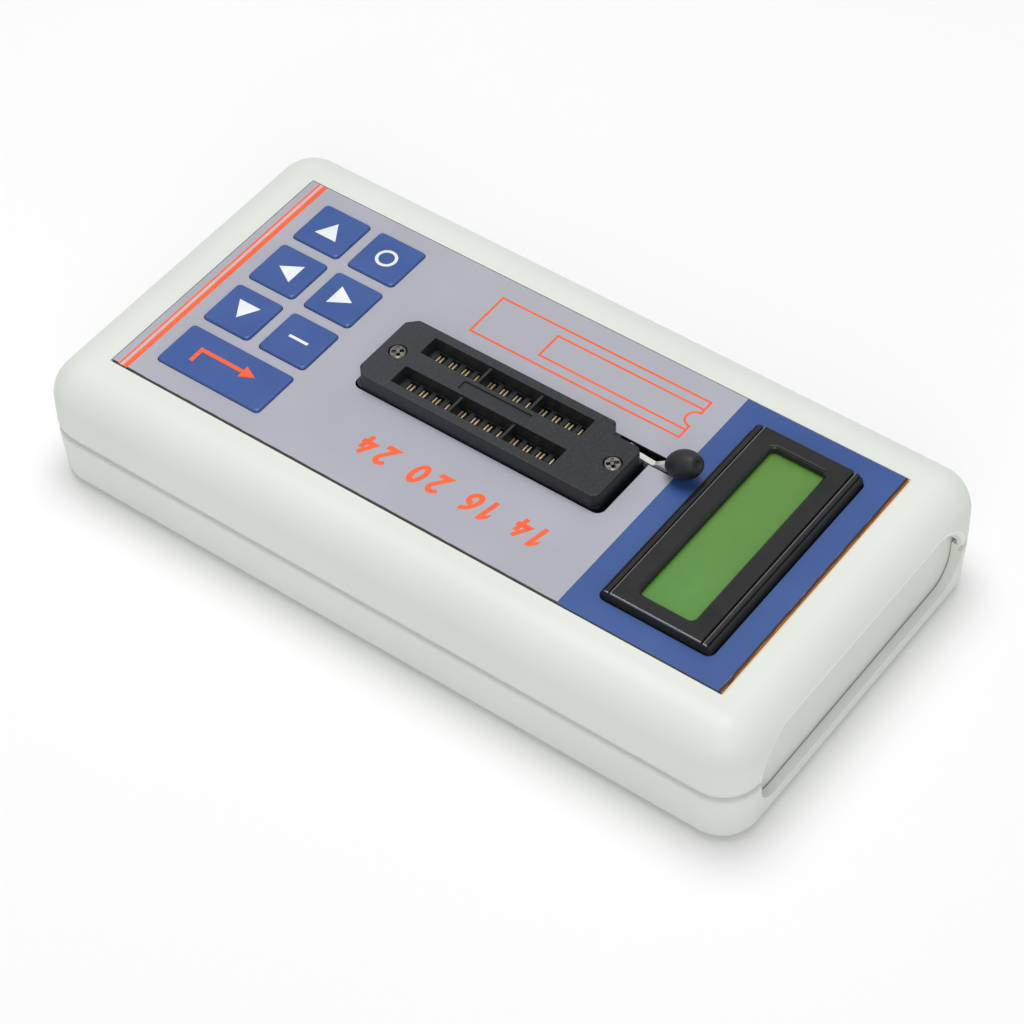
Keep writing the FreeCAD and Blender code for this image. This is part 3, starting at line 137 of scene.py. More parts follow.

# Arch of the end window in the upper shell, with a painted highlight line outside its edge
ARCH_HALF = 28.0 * MM
ARCH_TOP = 18.4 * MM
ARCH_CORNER = 7.0 * MM
ARCH_LINE = (0.45 * MM, 0.75 * MM)
ARCH_DEPTH = 8.0 * MM
ARCH_HIGHLIGHT = (240, 243, 238)

# Display glass
GLASS_GREENS = ((94, 138, 60), (90, 146, 68))
GLASS_CLOUD = (120, 164, 84)
GLASS_CLOUD_SHARE = 0.12
GLASS_PATCH = 6 * MM
GLASS_GRAIN = 1.5 * MM
GLASS_ROUGH = (0.2, 0.26)

# Display frame: its long shoulders, the grooves beside them and the painted highlight lines on its
# edges
SHOULDER = 1.7 * MM
GROOVE = 0.3 * MM
GROOVE_DROP = 0.3 * MM
GROOVE_SUNK = 0.45 * MM
GROOVE_LEVEL = 0.03 * MM
CREST_LINE = 0.2 * MM
HIGHLIGHT_EDGE = 0.12 * MM
FRAME_SKIN = 0.35 * MM
FRAME_SIDE = 0.7 * MM
FRAME_BLACKS = ((30, 30, 32), (38, 38, 40))
FRAME_CREST_HIGHLIGHT = (104, 103, 100)
FRAME_EDGE_HIGHLIGHT = (158, 157, 153)
FRAME_EDGE_HIGHLIGHT_METALLIC = 0.4
FRAME_PATCH = 6 * MM
FRAME_GRAIN = 2 * MM
FRAME_WAVER = 0.06
FRAME_SIDE_ROUGH = 0.7
FRAME_TOP_ROUGH = 0.15

# Circuit boards
BOARD_GREENS = ((28, 96, 52), (24, 88, 48))
BOARD_TRACE = (58, 130, 76)
BOARD_PITCH = 9 * MM
BOARD_TRACE_WIDTH = 0.03
BOARD_GRAIN = 0.3 * MM
BOARD_ROUGH = (0.25, 0.4)

# Cells: a copper band at the positive end, bare metal at both ends
CELL_GREYS = ((44, 46, 52), (70, 72, 80))
CELL_COPPER = (176, 112, 58)
CELL_METAL = (190, 190, 186)
CELL_BAND = 11 * MM
CELL_BARE = 1.6 * MM
CELL_PATCH = 5 * MM
CELL_DRIFT = 0.2
CELL_GRAIN = 0.2 * MM
CELL_ROUGH = (0.25, 0.36)

# Plain finishes: darker and lighter colour, size of the colour's patches and of the grain in mm,
# roughness from and to, relief in mm
FINISHES = {
    "case_plastic": ((220, 225, 218), (226, 230, 223), 30, 0.16, (0.40, 0.52), 0.004),
    "key_blue": ((51, 83, 149), (59, 91, 157), 8, 0.15, (0.26, 0.36), 0.002),
    "print_blue": ((45, 79, 143), (53, 87, 151), 14, 0.12, (0.34, 0.44), 0.002),
    "print_orange": ((244, 92, 38), (255, 104, 48), 6, 0.1, (0.36, 0.5), 0.001),
    "print_pale": ((206, 178, 184), (214, 186, 190), 6, 0.1, (0.36, 0.5), 0.001),
    "print_white": ((230, 233, 240), (242, 244, 250), 4, 0.1, (0.36, 0.5), 0.001),
    "contact_brass": ((228, 204, 158), (252, 240, 212), 0.8, 0.1, (0.3, 0.46), 0.002),
    "lever_steel": ((226, 226, 222), (246, 246, 242), 1.5, 0.12, (0.14, 0.30), 0.002),
    "knob_rubber": ((24, 25, 27), (36, 37, 39), 1.5, 0.12, (0.48, 0.66), 0.010),
    "screw_steel": ((132, 128, 122), (188, 184, 178), 0.7, 0.1, (0.2, 0.34), 0.003),
    "light_guide": ((214, 220, 160), (228, 234, 180), 6, 0.3, (0.2, 0.3), 0.002),
    "strip_rubber": ((150, 104, 112), (186, 140, 146), 0.4, 0.1, (0.5, 0.65), 0.003),
    "can_metal": ((186, 186, 184), (214, 214, 212), 2, 0.15, (0.2, 0.36), 0.003),
    "spacer_nylon": ((216, 214, 204), (228, 226, 218), 2, 0.2, (0.4, 0.55), 0.003),
    "spring_nickel": ((172, 170, 162), (208, 206, 198), 1.2, 0.1, (0.2, 0.36), 0.002),
    "studio_floor": ((246, 246, 246), (250, 250, 250), 400, 5, (0.8, 0.9), 0.0),
}
METALLIC = {"contact_brass": 0.8, "lever_steel": 0.6, "screw_steel": 1.0, "can_metal": 1.0,
            "spring_nickel": 1.0}
COATS = {"key_blue": 0.3}
BRUSHED = {"lever_steel": (1, 0.15, 1)}

# Speckled finishes: dark, pale dust, speck in mm, the noise where dust starts, roughness and
# relief in mm
SPECKLED = {
    "socket_black": ((39, 43, 48), (96, 99, 104), 0.09, 0.66, (0.38, 0.55), 0.006),
    "moulding_black": ((30, 30, 32), (70, 70, 72), 0.12, 0.64, (0.45, 0.6), 0.004),
}
DUST_EDGE = 0.06
SOCKET_FAR_BLACK = (17, 19, 24)

# Noise: most of its values lie in this range; its detail for dust, patches, films and grain
NOISE_RANGE = (0.3, 0.7)
DUST_DETAIL = 1.0
PATCH_DETAIL = 2.0
FILM_DETAIL = 3.0
GRAIN_DETAIL = 4.0

# Each finish's CAD nodes
NODE_FINISHES = {
    "case_upper": ["upper_shell"],
    "case_plastic": ["lower_shell", "end_panel", "battery_door"],
    "film_print": ["front_film"],
    "key_blue": ["key_" + key for key in KEY_NAMES],
    "socket_black": ["socket_base", "socket_cover", "contact_slide"],
    "contact_brass": ["contacts_left", "contacts_right"],
    "lever_steel": ["socket_lever"],
    "knob_rubber": ["lever_knob"],
    "screw_steel": ["socket_screws", "case_screws", "board_screws"],
    "bezel_black": ["lcd_bezel"],
    "display_green": ["lcd_glass"],
    "light_guide": ["lcd_light"],
    "strip_rubber": ["lcd_strips"],
    "board_green": ["main_board", "lcd_board"],
    "moulding_black": ["controller_chip", "regulator", "lcd_header", "switch_housings"]
                      + ["stem_" + key for key in KEY_NAMES],
    "can_metal": ["crystal", "capacitors"],
    "spacer_nylon": ["lcd_spacers"],
    "spring_nickel": ["cell_plus_contacts", "cell_minus_springs"],
    "cell_jacket_away": ["battery_cell_1", "battery_cell_3"],
    "cell_jacket_near": ["battery_cell_2"],
}

# Meshes: points closer than MERGE are one, and faces flatter than FLAT_ANGLE
MERGE = 1e-7
SAME_LEVEL = 1e-6
FACING_UP = 0.9
FLAT_ANGLE = math.radians(0.5)

# Small round edges on mouldings and stampings: the CAD node, the width, the body and the finish
EDGE_ANGLE = math.radians(38)
EDGE_STEPS = 3
SOFT_PIECES = {
    "display_frame": ("lcd_bezel", 0.14 * MM, "case", "bezel_black"),
    "cover_moulding": ("socket_cover", 0.09 * MM, "case", "socket_black"),
    "base_moulding": ("socket_base", 0.12 * MM, "case", "socket_black"),
    "panel_plate": ("end_panel", 0.2 * MM, "case", "case_plastic"),
    "door_plate": ("battery_door", 0.15 * MM, "door", "case_plastic"),
    "lever_strip": ("socket_lever", 0.1 * MM, "lever", "lever_steel"),
}

# Cross-head screws, sizes in mm; True where the heads are below
SCREW_SEED = 11
SCREW_SIDES = 48
SCREW_MERGE = 0.001 * MM
SCREW_SIZES = ("Head radius", "Head height", "Edge", "Shank radius", "Shank length",
               "Cross length", "Cross width", "Cross depth")
SCREWS = {
    "socket_screws": ((1.5, 1.0, 0.3, 1.0, 6.0, 2.1, 0.65, 0.8), False),
    "case_screws": ((2.4, 1.6, 0.35, 1.1, 9.0, 3.1, 0.7, 0.9), True),
    "board_screws": ((2.0, 1.3, 0.3, 1.0, 6.0, 2.6, 0.6, 0.75), True),
}


# Shader tools

def paint(red, green, blue):
    """An everyday 0 to 255 colour as the linear colour that a shader takes."""
    linear = []
    for value in (red, green, blue):
        share = value / 255
        linear.append(share / 12.92 if share <= 0.04045 else ((share + 0.055) / 1.055) ** 2.4)
    return (*linear, 1.0)


def new_finish(name):
    """A new material, its node tree and its shader."""
    material = bpy.data.materials.new(name)
    material.use_nodes = True
    return material, material.node_tree, material.node_tree.nodes["Principled BSDF"]


def place(tree, stretch=(1, 1, 1)):
    """Object coordinates, stretched along each axis."""
    where = tree.nodes.new("ShaderNodeTexCoord").outputs["Object"]
    mapping = tree.nodes.new("ShaderNodeMapping")
    mapping.inputs["Scale"].default_value = stretch
    tree.links.new(where, mapping.inputs["Vector"])
    return mapping.outputs["Vector"]


def axes_of(tree):
    """The three object coordinates, one by one."""
    split = tree.nodes.new("ShaderNodeSeparateXYZ")
    tree.links.new(place(tree), split.inputs["Vector"])
    return split.outputs


def noise(tree, where, size, detail=PATCH_DETAIL):
    """Soft random patches about one size across."""
    texture = tree.nodes.new("ShaderNodeTexNoise")
    texture.inputs["Scale"].default_value = 1 / size
    texture.inputs["Detail"].default_value = detail
    tree.links.new(where, texture.inputs["Vector"])
    return texture.outputs["Fac"]


def span(tree, value, low, high, to_low=0.0, to_high=1.0):
    """The value carried from one range to another, held at its ends."""
    node = tree.nodes.new("ShaderNodeMapRange")
    ends = (("From Min", low), ("From Max", high), ("To Min", to_low), ("To Max", to_high))
    for name, number in ends:
        node.inputs[name].default_value = number
    tree.links.new(value, node.inputs["Value"])
    return node.outputs["Result"]


def spread(tree, value, low=0.0, high=1.0):
    """A noise's values spread from low to high."""
    return span(tree, value, *NOISE_RANGE, low, high)


def mix(tree, share, first, second):
    """Two colours, each a fixed 0 to 255 colour or a socket, mixed by a share."""
    node = tree.nodes.new("ShaderNodeMix")
    node.data_type = "RGBA"
    tree.links.new(share, node.inputs["Factor"])
    colours = [socket for socket in node.inputs if socket.type == "RGBA"]
    for socket, colour in zip(colours, (first, second)):
        if isinstance(colour, tuple):
            socket.default_value = paint(*colour)
        else:
            tree.links.new(colour, socket)
    return [socket for socket in node.outputs if socket.type == "RGBA"][0]


def math_of(tree, operation, first, second):
    """One step of arithmetic on two values, each a fixed number or a socket."""
    node = tree.nodes.new("ShaderNodeMath")
    node.operation = operation
    for socket, value in zip(node.inputs, (first, second)):
        if isinstance(value, (int, float)):
            socket.default_value = value
        else:
            tree.links.new(value, socket)
    return node.outputs["Value"]


def below(tree, value, limit):
    """One below the limit, nought above it."""
    return math_of(tree, "LESS_THAN", value, limit)


def above(tree, value, limit):
    """One above the limit, nought below it."""
    return math_of(tree, "GREATER_THAN", value, limit)


def near(tree, value, low, high):
    """One between the two places, nought elsewhere."""
    middle = (low + high) / 2
    away = math_of(tree, "ABSOLUTE", math_of(tree, "SUBTRACT", value, middle), 0.0)
    return below(tree, away, (high - low) / 2)


def both(tree, first, second):
    """The product of two shares."""
    return math_of(tree, "MULTIPLY", first, second)


def roughen(tree, shader, where, size, low, high, detail=PATCH_DETAIL):
    """Roughness from low to high over a grain, which is given back."""
    fine = noise(tree, where, size, detail)
    tree.links.new(spread(tree, fine, low, high), shader.inputs["Roughness"])
    return fine


def relief(tree, shader, height, depth):
    """A shallow bump of that depth."""
    bump = tree.nodes.new("ShaderNodeBump")
    bump.inputs["Distance"].default_value = depth
    tree.links.new(height, bump.inputs["Height"])
    tree.links.new(bump.outputs["Normal"], shader.inputs["Normal"])


# Finishes

def moulded(name, look):
    """Colour drifts over patches; fine grain gives the roughness and a shallow relief."""
    dark, light, patch, grain, rough, depth = FINISHES[look]
    material, tree, shader = new_finish(name)
    where = place(tree, BRUSHED.get(look, (1, 1, 1)))
    drift = spread(tree, noise(tree, where, patch * MM))
    tree.links.new(mix(tree, drift, dark, light), shader.inputs["Base Color"])
    fine = roughen(tree, shader, where, grain * MM, *rough, GRAIN_DETAIL)
    relief(tree, shader, fine, depth * MM)
    shader.inputs["Metallic"].default_value = METALLIC.get(look, 0.0)
    shader.inputs["Coat Weight"].default_value = COATS.get(look, 0.0)
    return material


def speckled(name, fade=None):
    """A dark moulding with fine pale dust; its dark may fade to another one along the case."""
    dark, light, speck, share, rough, depth = SPECKLED[name]
    speck = speck * MM
    material, tree, shader = new_finish(name)
    where = place(tree)
    if fade is not None:
        far_dark, start, stop = fade
        dark = mix(tree, span(tree, axes_of(tree)[1], start, stop), dark, far_dark)
    dust = span(tree, noise(tree, where, speck, DUST_DETAIL), share, share + DUST_EDGE)
    tree.links.new(mix(tree, dust, dark, light), shader.inputs["Base Color"])
    fine = roughen(tree, shader, where, 2 * speck, *rough, FILM_DETAIL)
    relief(tree, shader, fine, depth * MM)
    return material


def display_finish():
    """Green display glass with a slow drift of colour along it."""
    material, tree, shader = new_finish("display_green")
    low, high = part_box("lcd_glass")
    where = place(tree)
    colour = mix(tree, span(tree, axes_of(tree)[0], low.x, high.x), *GLASS_GREENS)
    cloud = spread(tree, noise(tree, where, GLASS_PATCH), 0.0, GLASS_CLOUD_SHARE)
    tree.links.new(mix(tree, cloud, colour, GLASS_CLOUD), shader.inputs["Base Color"])
    roughen(tree, shader, where, GLASS_GRAIN, *GLASS_ROUGH)
    return material


def bezel_finish():
    """Glossy black paint: a painted highlight on the +X edge, partly metallic, painted highlight
    lines along the crests, dull down the sides.
    """
    material, tree, shader = new_finish("bezel_black")
    low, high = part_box("lcd_bezel")
    x, y, z = axes_of(tree)
    where = place(tree)
    middle = (low.y + high.y) / 2
    crest = (high.y - low.y) / 2 - SHOULDER
    far_start = middle - crest
    near_start = middle + crest + GROOVE
    # Painted highlight lines along the crests beside the two grooves
    far_line = near(tree, y, far_start, far_start + CREST_LINE)
    near_line = near(tree, y, near_start, near_start + CREST_LINE)
    skin = above(tree, z, high.z - FRAME_SKIN)
    crest_highlights = both(tree, math_of(tree, "MAXIMUM", far_line, near_line), skin)
    # Painted highlight on the +X edge, partly metallic
    pale_metal_band = both(tree, above(tree, x, high.x - HIGHLIGHT_EDGE), skin)
    colour = mix(tree, spread(tree, noise(tree, where, FRAME_PATCH)), *FRAME_BLACKS)
    colour = mix(tree, crest_highlights, colour, FRAME_CREST_HIGHLIGHT)
    tree.links.new(mix(tree, pale_metal_band, colour, FRAME_EDGE_HIGHLIGHT), shader.inputs["Base Color"])
    tree.links.new(both(tree, pale_metal_band, FRAME_EDGE_HIGHLIGHT_METALLIC), shader.inputs["Metallic"])
    waver = spread(tree, noise(tree, where, FRAME_GRAIN), 0.0, FRAME_WAVER)
    rough = span(tree, z, high.z - FRAME_SIDE, high.z - FRAME_SKIN,
                 FRAME_SIDE_ROUGH, FRAME_TOP_ROUGH)
    tree.links.new(math_of(tree, "ADD", rough, waver), shader.inputs["Roughness"])
    return material


def film_finish():
    """Grey film: its dark backing shows on its cut faces and near the display end, with amber glue
    there and painted shade in a band along its +X edge.
    """
    material, tree, shader = new_finish("film_print")
    x, y, z = axes_of(tree)
    where = place(tree)
    grey = mix(tree, spread(tree, noise(tree, where, FILM_PATCH)), *FILM_GREYS)
    wander = spread(tree, noise(tree, where, WANDER_PATCH), -EDGE_WANDER, EDGE_WANDER)
    from_side = math_of(tree, "ADD", math_of(tree, "SUBTRACT", film_high.x, x), wander)
    from_end = math_of(tree, "ADD", math_of(tree, "SUBTRACT", film_high.y, y), wander)
    # The cut faces' dark colour, also painted as shade in a band along the +X edge
    edges = math_of(tree, "MAXIMUM", below(tree, from_side, DARK_EDGE),
                    below(tree, z, film_high.z - CUT_DEPTH))
    colour = mix(tree, edges, grey, FILM_CUT_AND_SHADE)
    colour = mix(tree, below(tree, from_end, BROWN_EDGE), colour, FILM_BACKING)
    colour = mix(tree, below(tree, from_end, AMBER_EDGE), colour, FILM_GLUE)
    tree.links.new(colour, shader.inputs["Base Color"])
    fine = roughen(tree, shader, where, FILM_GRAIN, *FILM_ROUGH, FILM_DETAIL)
    relief(tree, shader, fine, FILM_RELIEF)
    return material


def arch_highlight_line(tree):
    """One along a line just outside the end window's arch, where a highlight is painted; nought
    elsewhere.
    """
    x, y, z = axes_of(tree)
    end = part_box("upper_shell")[1].y
    width = math_of(tree, "ABSOLUTE", x, 0.0)
    legs = []
    for value, straight in ((width, ARCH_HALF - ARCH_CORNER), (z, ARCH_TOP - ARCH_CORNER)):
        past = math_of(tree, "MAXIMUM", math_of(tree, "SUBTRACT", value, straight), 0.0)
        legs.append(math_of(tree, "POWER", past, 2.0))
    reach = math_of(tree, "POWER", math_of(tree, "ADD", *legs), 0.5)
    start, stop = ARCH_LINE
    edge = near(tree, reach, ARCH_CORNER + start, ARCH_CORNER + stop)
    return both(tree, edge, above(tree, y, end - ARCH_DEPTH))


def upper_finish():
    """The upper shell's plastic: a painted highlight line outside the arch, stained by glue beside
    the film, and painted shade on its walls under the film's openings.
    """
    material = moulded("case_upper", "case_plastic")
    tree = material.node_tree
    shader = tree.nodes["Principled BSDF"]
    x, y, z = axes_of(tree)
    colour = shader.inputs["Base Color"].links[0].from_socket
    # Painted highlight line just outside the end window's arch
    colour = mix(tree, arch_highlight_line(tree), colour, ARCH_HIGHLIGHT)
    smear_end = film_high.y + GLUE_SMEAR
    smear = both(tree, near(tree, x, film_low.x, film_high.x),
                 near(tree, y, film_high.y - CUT_DEPTH, smear_end))
    fade = span(tree, y, film_high.y, smear_end, GLUE_SHARE, 0.0)
    colour = mix(tree, both(tree, smear, fade), colour, GLUE_STAIN)
    # Painted shade on the shell's walls inside the film's openings, below the film
    inside = both(tree, near(tree, x, film_low.x + FILM_LAND, film_high.x - FILM_LAND),
                  near(tree, y, film_low.y + FILM_LAND, film_high.y - FILM_LAND))
    shade_under_film = both(tree, inside, below(tree, z, film_low.z - CUT_DEPTH))
    tree.links.new(mix(tree, shade_under_film, colour, OPENING_SHADE), shader.inputs["Base Color"])
    return material


def board_finish():
    """Green solder mask with paler traces under it."""
    material, tree, shader = new_finish("board_green")
    where = place(tree)
    brick = tree.nodes.new("ShaderNodeTexBrick")
    brick.inputs["Scale"].default_value = 1 / BOARD_PITCH
    brick.inputs["Mortar Size"].default_value = BOARD_TRACE_WIDTH
    for name, colour in zip(("Color1", "Color2", "Mortar"), (*BOARD_GREENS, BOARD_TRACE)):
        brick.inputs[name].default_value = paint(*colour)
    tree.links.new(where, brick.inputs["Vector"])
    tree.links.new(brick.outputs["Color"], shader.inputs["Base Color"])
    roughen(tree, shader, where, BOARD_GRAIN, *BOARD_ROUGH)
    return material


def jacket_finish(name, away):
    """A cell's printed jacket; its positive end points away from the key end, or towards it."""
    material, tree, shader = new_finish(name)
    low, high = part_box("battery_cell_1")
    y = axes_of(tree)[1]
    where = place(tree)
    ends = (high.y, y) if away else (y, low.y)
    along = math_of(tree, "SUBTRACT", *ends)
    drift = spread(tree, noise(tree, where, CELL_PATCH), 0.0, CELL_DRIFT)
    colour = mix(tree, drift, *CELL_GREYS)
    colour = mix(tree, below(tree, along, CELL_BAND), colour, CELL_COPPER)
    pale_metal_band = math_of(tree, "ADD", below(tree, along, CELL_BARE),
                   above(tree, along, high.y - low.y - CELL_BARE))
    tree.links.new(mix(tree, pale_metal_band, colour, CELL_METAL), shader.inputs["Base Color"])
    tree.links.new(pale_metal_band, shader.inputs["Metallic"])
    roughen(tree, shader, where, CELL_GRAIN, *CELL_ROUGH)
    return material


cover_low, cover_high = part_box("socket_cover")
finishes = {look: moulded(look, look) for look in FINISHES}
finishes["case_upper"] = upper_finish()
finishes["socket_black"] = speckled("socket_black", (SOCKET_FAR_BLACK, cover_low.y, cover_high.y))
finishes["moulding_black"] = speckled("moulding_black")
finishes["display_green"] = display_finish()
finishes["bezel_black"] = bezel_finish()
finishes["film_print"] = film_finish()
finishes["board_green"] = board_finish()
finishes["cell_jacket_away"] = jacket_finish("cell_jacket_away", True)
finishes["cell_jacket_near"] = jacket_finish("cell_jacket_near", False)
for finish, names in NODE_FINISHES.items():
    for name in names:
        for material_slot in nodes[name].material_slots:
            material_slot.material = finishes[finish]


# Making pieces

def piece(name, mesh, body, finish):
    """A finished mesh as a named piece on one body."""
    mesh.materials.clear()
    mesh.materials.append(finishes[finish])
    made = bpy.data.objects.new(name, mesh)
    bpy.context.scene.collection.objects.link(made)
    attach(made, body)
    return made


def mesh_of(name, shape):
    """The shape as a mesh; the shape goes."""
    mesh = bpy.data.meshes.new(name)
    shape.to_mesh(mesh)
    shape.free()
    return mesh


def thicken(shape, height):
    """Turns flat faces into a closed plate of that height, upwards."""
    bmesh.ops.remove_doubles(shape, verts=shape.verts, dist=MERGE)
    grown = bmesh.ops.extrude_face_region(shape, geom=shape.faces[:])
    risen = [item for item in grown["geom"] if isinstance(item, bmesh.types.BMVert)]
    bmesh.ops.translate(shape, verts=risen, vec=(0, 0, height))
    bmesh.ops.recalc_face_normals(shape, faces=shape.faces)


def ink(name, polygons, turn, z, body, finish):
    """Flat printed shapes: polygons in their own plane, turned into place and laid at height z."""
    shape = bmesh.new()
    for polygon in polygons:
        corners = [shape.verts.new(turn @ Vector((u, v, 0))) for u, v in polygon]
        shape.faces.new(corners)
    for vert in shape.verts:
        vert.co.z = z - INK_SEAT
    bmesh.ops.recalc_face_normals(shape, faces=shape.faces)
    thicken(shape, INK + INK_SEAT)
    return piece(name, mesh_of(name, shape), body, finish)


def ribbon(points, width, closed=False):
    """A line of even width with mitred corners, as four-sided polygons."""
    count = len(points)
    spots = [Vector(point) for point in points]
    sides = []
    for index, spot in enumerate(spots):
        before = spots[index - 1] if closed or index else None
        after = spots[(index + 1) % count] if closed or index < count - 1 else None
        into = (spot - before if before is not None else after - spot).normalized()
        out = (after - spot).normalized() if after is not None else into
        normal = Vector((-into.y - out.y, into.x + out.x)).normalized()
        reach = width / 2 / max(normal.dot(Vector((-into.y, into.x))), MITRE_LIMIT)
        sides.append((spot + normal * reach, spot - normal * reach))
    following = sides[1:] + sides[:1] if closed else sides[1:]
    return [(a[0], a[1], b[1], b[0]) for a, b in zip(sides, following)]


def arc(x, y, wide, tall, start, stop, steps):
    """Points on an oval's arc, angles in degrees."""
    points = []
    for step in range(steps + 1):
        angle = math.radians(start + (stop - start) * step / steps)
        points.append((x + wide * math.cos(angle), y + tall * math.sin(angle)))
    return points


def settled(made):
    """An object's shape with its modifiers as a plain mesh; the object goes."""
    graph = bpy.context.evaluated_depsgraph_get()
    mesh = bpy.data.meshes.new_from_object(made.evaluated_get(graph),
                                           preserve_all_data_layers=True, depsgraph=graph)
    bpy.data.objects.remove(made)
    return mesh


# Small round edges

def sink_grooves(shape):
    """Takes the floors of the display frame's two grooves deeper."""
    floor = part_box("lcd_bezel")[1].z - GROOVE_DROP
    for vert in shape.verts:
        if abs(vert.co.z - floor) < GROOVE_LEVEL:
            vert.co.z -= GROOVE_SUNK


def softened(name, node, width, body, finish):
    """A CAD piece with small round edges, shown in its place."""
    shape = bmesh.new()
    shape.from_mesh(nodes[node].data)
    bmesh.ops.remove_doubles(shape, verts=shape.verts, dist=MERGE)
    bmesh.ops.dissolve_limit(shape, angle_limit=FLAT_ANGLE, verts=shape.verts, edges=shape.edges)
    if node == "lcd_bezel":
        sink_grooves(shape)
    bmesh.ops.recalc_face_normals(shape, faces=shape.faces)
    mesh = mesh_of(name, shape)
    mesh.shade_smooth()
    blank = bpy.data.objects.new(name + "_blank", mesh)
    bpy.context.scene.collection.objects.link(blank)
    bevel = blank.modifiers.new("edges", "BEVEL")
    bevel.width = width
    bevel.segments = EDGE_STEPS
    bevel.limit_method = "ANGLE"
    bevel.angle_limit = EDGE_ANGLE
    evened = blank.modifiers.new("shading", "WEIGHTED_NORMAL")
    evened.mode = "FACE_AREA"
    made = piece(name, settled(blank), body, finish)
    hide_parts(node)
    return made


for name, row in SOFT_PIECES.items():
    softened(name, *row)


# Cross-head screws

def feed(tree, socket, value):
    """Sets an input, or links it when the value is another node's output."""
    if isinstance(value, bpy.types.NodeSocket):
        tree.links.new(value, socket)
    else:
        socket.default_value = value


def add(tree, kind, values, **settings):
    """A node with its settings and its inputs, each given by name or number."""
    made = tree.nodes.new(kind)
    for name, setting in settings.items():
        setattr(made, name, setting)
    for name, value in values.items():
        feed(tree, made.inputs[name], value)
    return made


def screw_tree():
    """A screw at every point, its head's top on the point, turned at random about its own axis."""
    tree = bpy.data.node_groups.new("cross_head_screws", "GeometryNodeTree")
    tree.interface.new_socket("Spots", in_out="INPUT", socket_type="NodeSocketGeometry")
    for name in SCREW_SIZES + ("Lean",):
        tree.interface.new_socket(name, in_out="INPUT", socket_type="NodeSocketFloat")
    tree.interface.new_socket("Finish", in_out="INPUT", socket_type="NodeSocketMaterial")
    tree.interface.new_socket("Screws", in_out="OUTPUT", socket_type="NodeSocketGeometry")
    given = tree.nodes.new("NodeGroupInput").outputs

    def figure(operation, first, second):
        made = add(tree, "ShaderNodeMath", {0: first, 1: second}, operation=operation)
        return made.outputs["Value"]

    def vector(x=0.0, y=0.0, z=0.0):
        return add(tree, "ShaderNodeCombineXYZ", {"X": x, "Y": y, "Z": z}).outputs["Vector"]

    def stepped(mesh, chosen, height, size):
        """Raises the chosen face by a height and scales it."""
        values = {"Mesh": mesh, "Offset Scale": height, "Individual": False}
        if chosen is not None:
            values["Selection"] = chosen
        rise = add(tree, "GeometryNodeExtrudeMesh", values)
        top = rise.outputs["Top"]
        values = {"Geometry": rise.outputs["Mesh"], "Selection": top, "Scale": size}
        return add(tree, "GeometryNodeScaleElements", values).outputs["Geometry"], top

    head = given["Head radius"]
    edge = given["Edge"]
    shank = given["Shank radius"]
    depth = figure("ADD", given["Head height"], given["Shank length"])
    disc = add(tree, "GeometryNodeMeshCircle", {"Vertices": SCREW_SIDES, "Radius": shank},
               fill_type="NGON")
    tip = add(tree, "GeometryNodeTransform",
              {"Geometry": disc.outputs["Mesh"],
               "Translation": vector(z=figure("MULTIPLY", depth, -1.0))})
    foot = add(tree, "GeometryNodeFlipFaces", {"Mesh": tip.outputs["Geometry"]}).outputs["Mesh"]
    mesh, top = stepped(tip.outputs["Geometry"], None, given["Shank length"], 1.0)
    mesh, top = stepped(mesh, top, 0.0, figure("DIVIDE", head, shank))
    mesh, top = stepped(mesh, top, figure("SUBTRACT", given["Head height"], edge), 1.0)
    mesh, top = stepped(mesh, top, edge,
                        figure("DIVIDE", figure("SUBTRACT", head, edge), head))
    whole = tree.nodes.new("GeometryNodeJoinGeometry")
    tree.links.new(mesh, whole.inputs[0])
    tree.links.new(foot, whole.inputs[0])
    closed = add(tree, "GeometryNodeMergeByDistance",
                 {"Geometry": whole.outputs[0], "Distance": SCREW_MERGE})
    cross = tree.nodes.new("GeometryNodeMeshBoolean")
    cross.operation = "DIFFERENCE"
    tree.links.new(closed.outputs["Geometry"], cross.inputs["Mesh 1"])
    long = given["Cross length"]
    narrow = given["Cross width"]
    high = figure("MULTIPLY", given["Cross depth"], 2.0)
    for size in (vector(long, narrow, high), vector(narrow, long, high)):
        bar = add(tree, "GeometryNodeMeshCube", {"Size": size})
        tree.links.new(bar.outputs["Mesh"], cross.inputs["Mesh 2"])
    spin = add(tree, "FunctionNodeRandomValue", {"Seed": SCREW_SEED}, data_type="FLOAT")
    turned = figure("MULTIPLY", [o for o in spin.outputs if o.enabled][0], math.tau)
    spread_out = add(tree, "GeometryNodeInstanceOnPoints",
                     {"Points": given["Spots"], "Instance": cross.outputs["Mesh"],
                      "Rotation": vector(x=given["Lean"], z=turned)})
    real = add(tree, "GeometryNodeRealizeInstances",
               {"Geometry": spread_out.outputs["Instances"]})
    finished = add(tree, "GeometryNodeSetMaterial",
                   {"Geometry": real.outputs["Geometry"], "Material": given["Finish"]})
    result = tree.nodes.new("NodeGroupOutput")
    tree.links.new(finished.outputs["Geometry"], result.inputs["Screws"])
    return tree


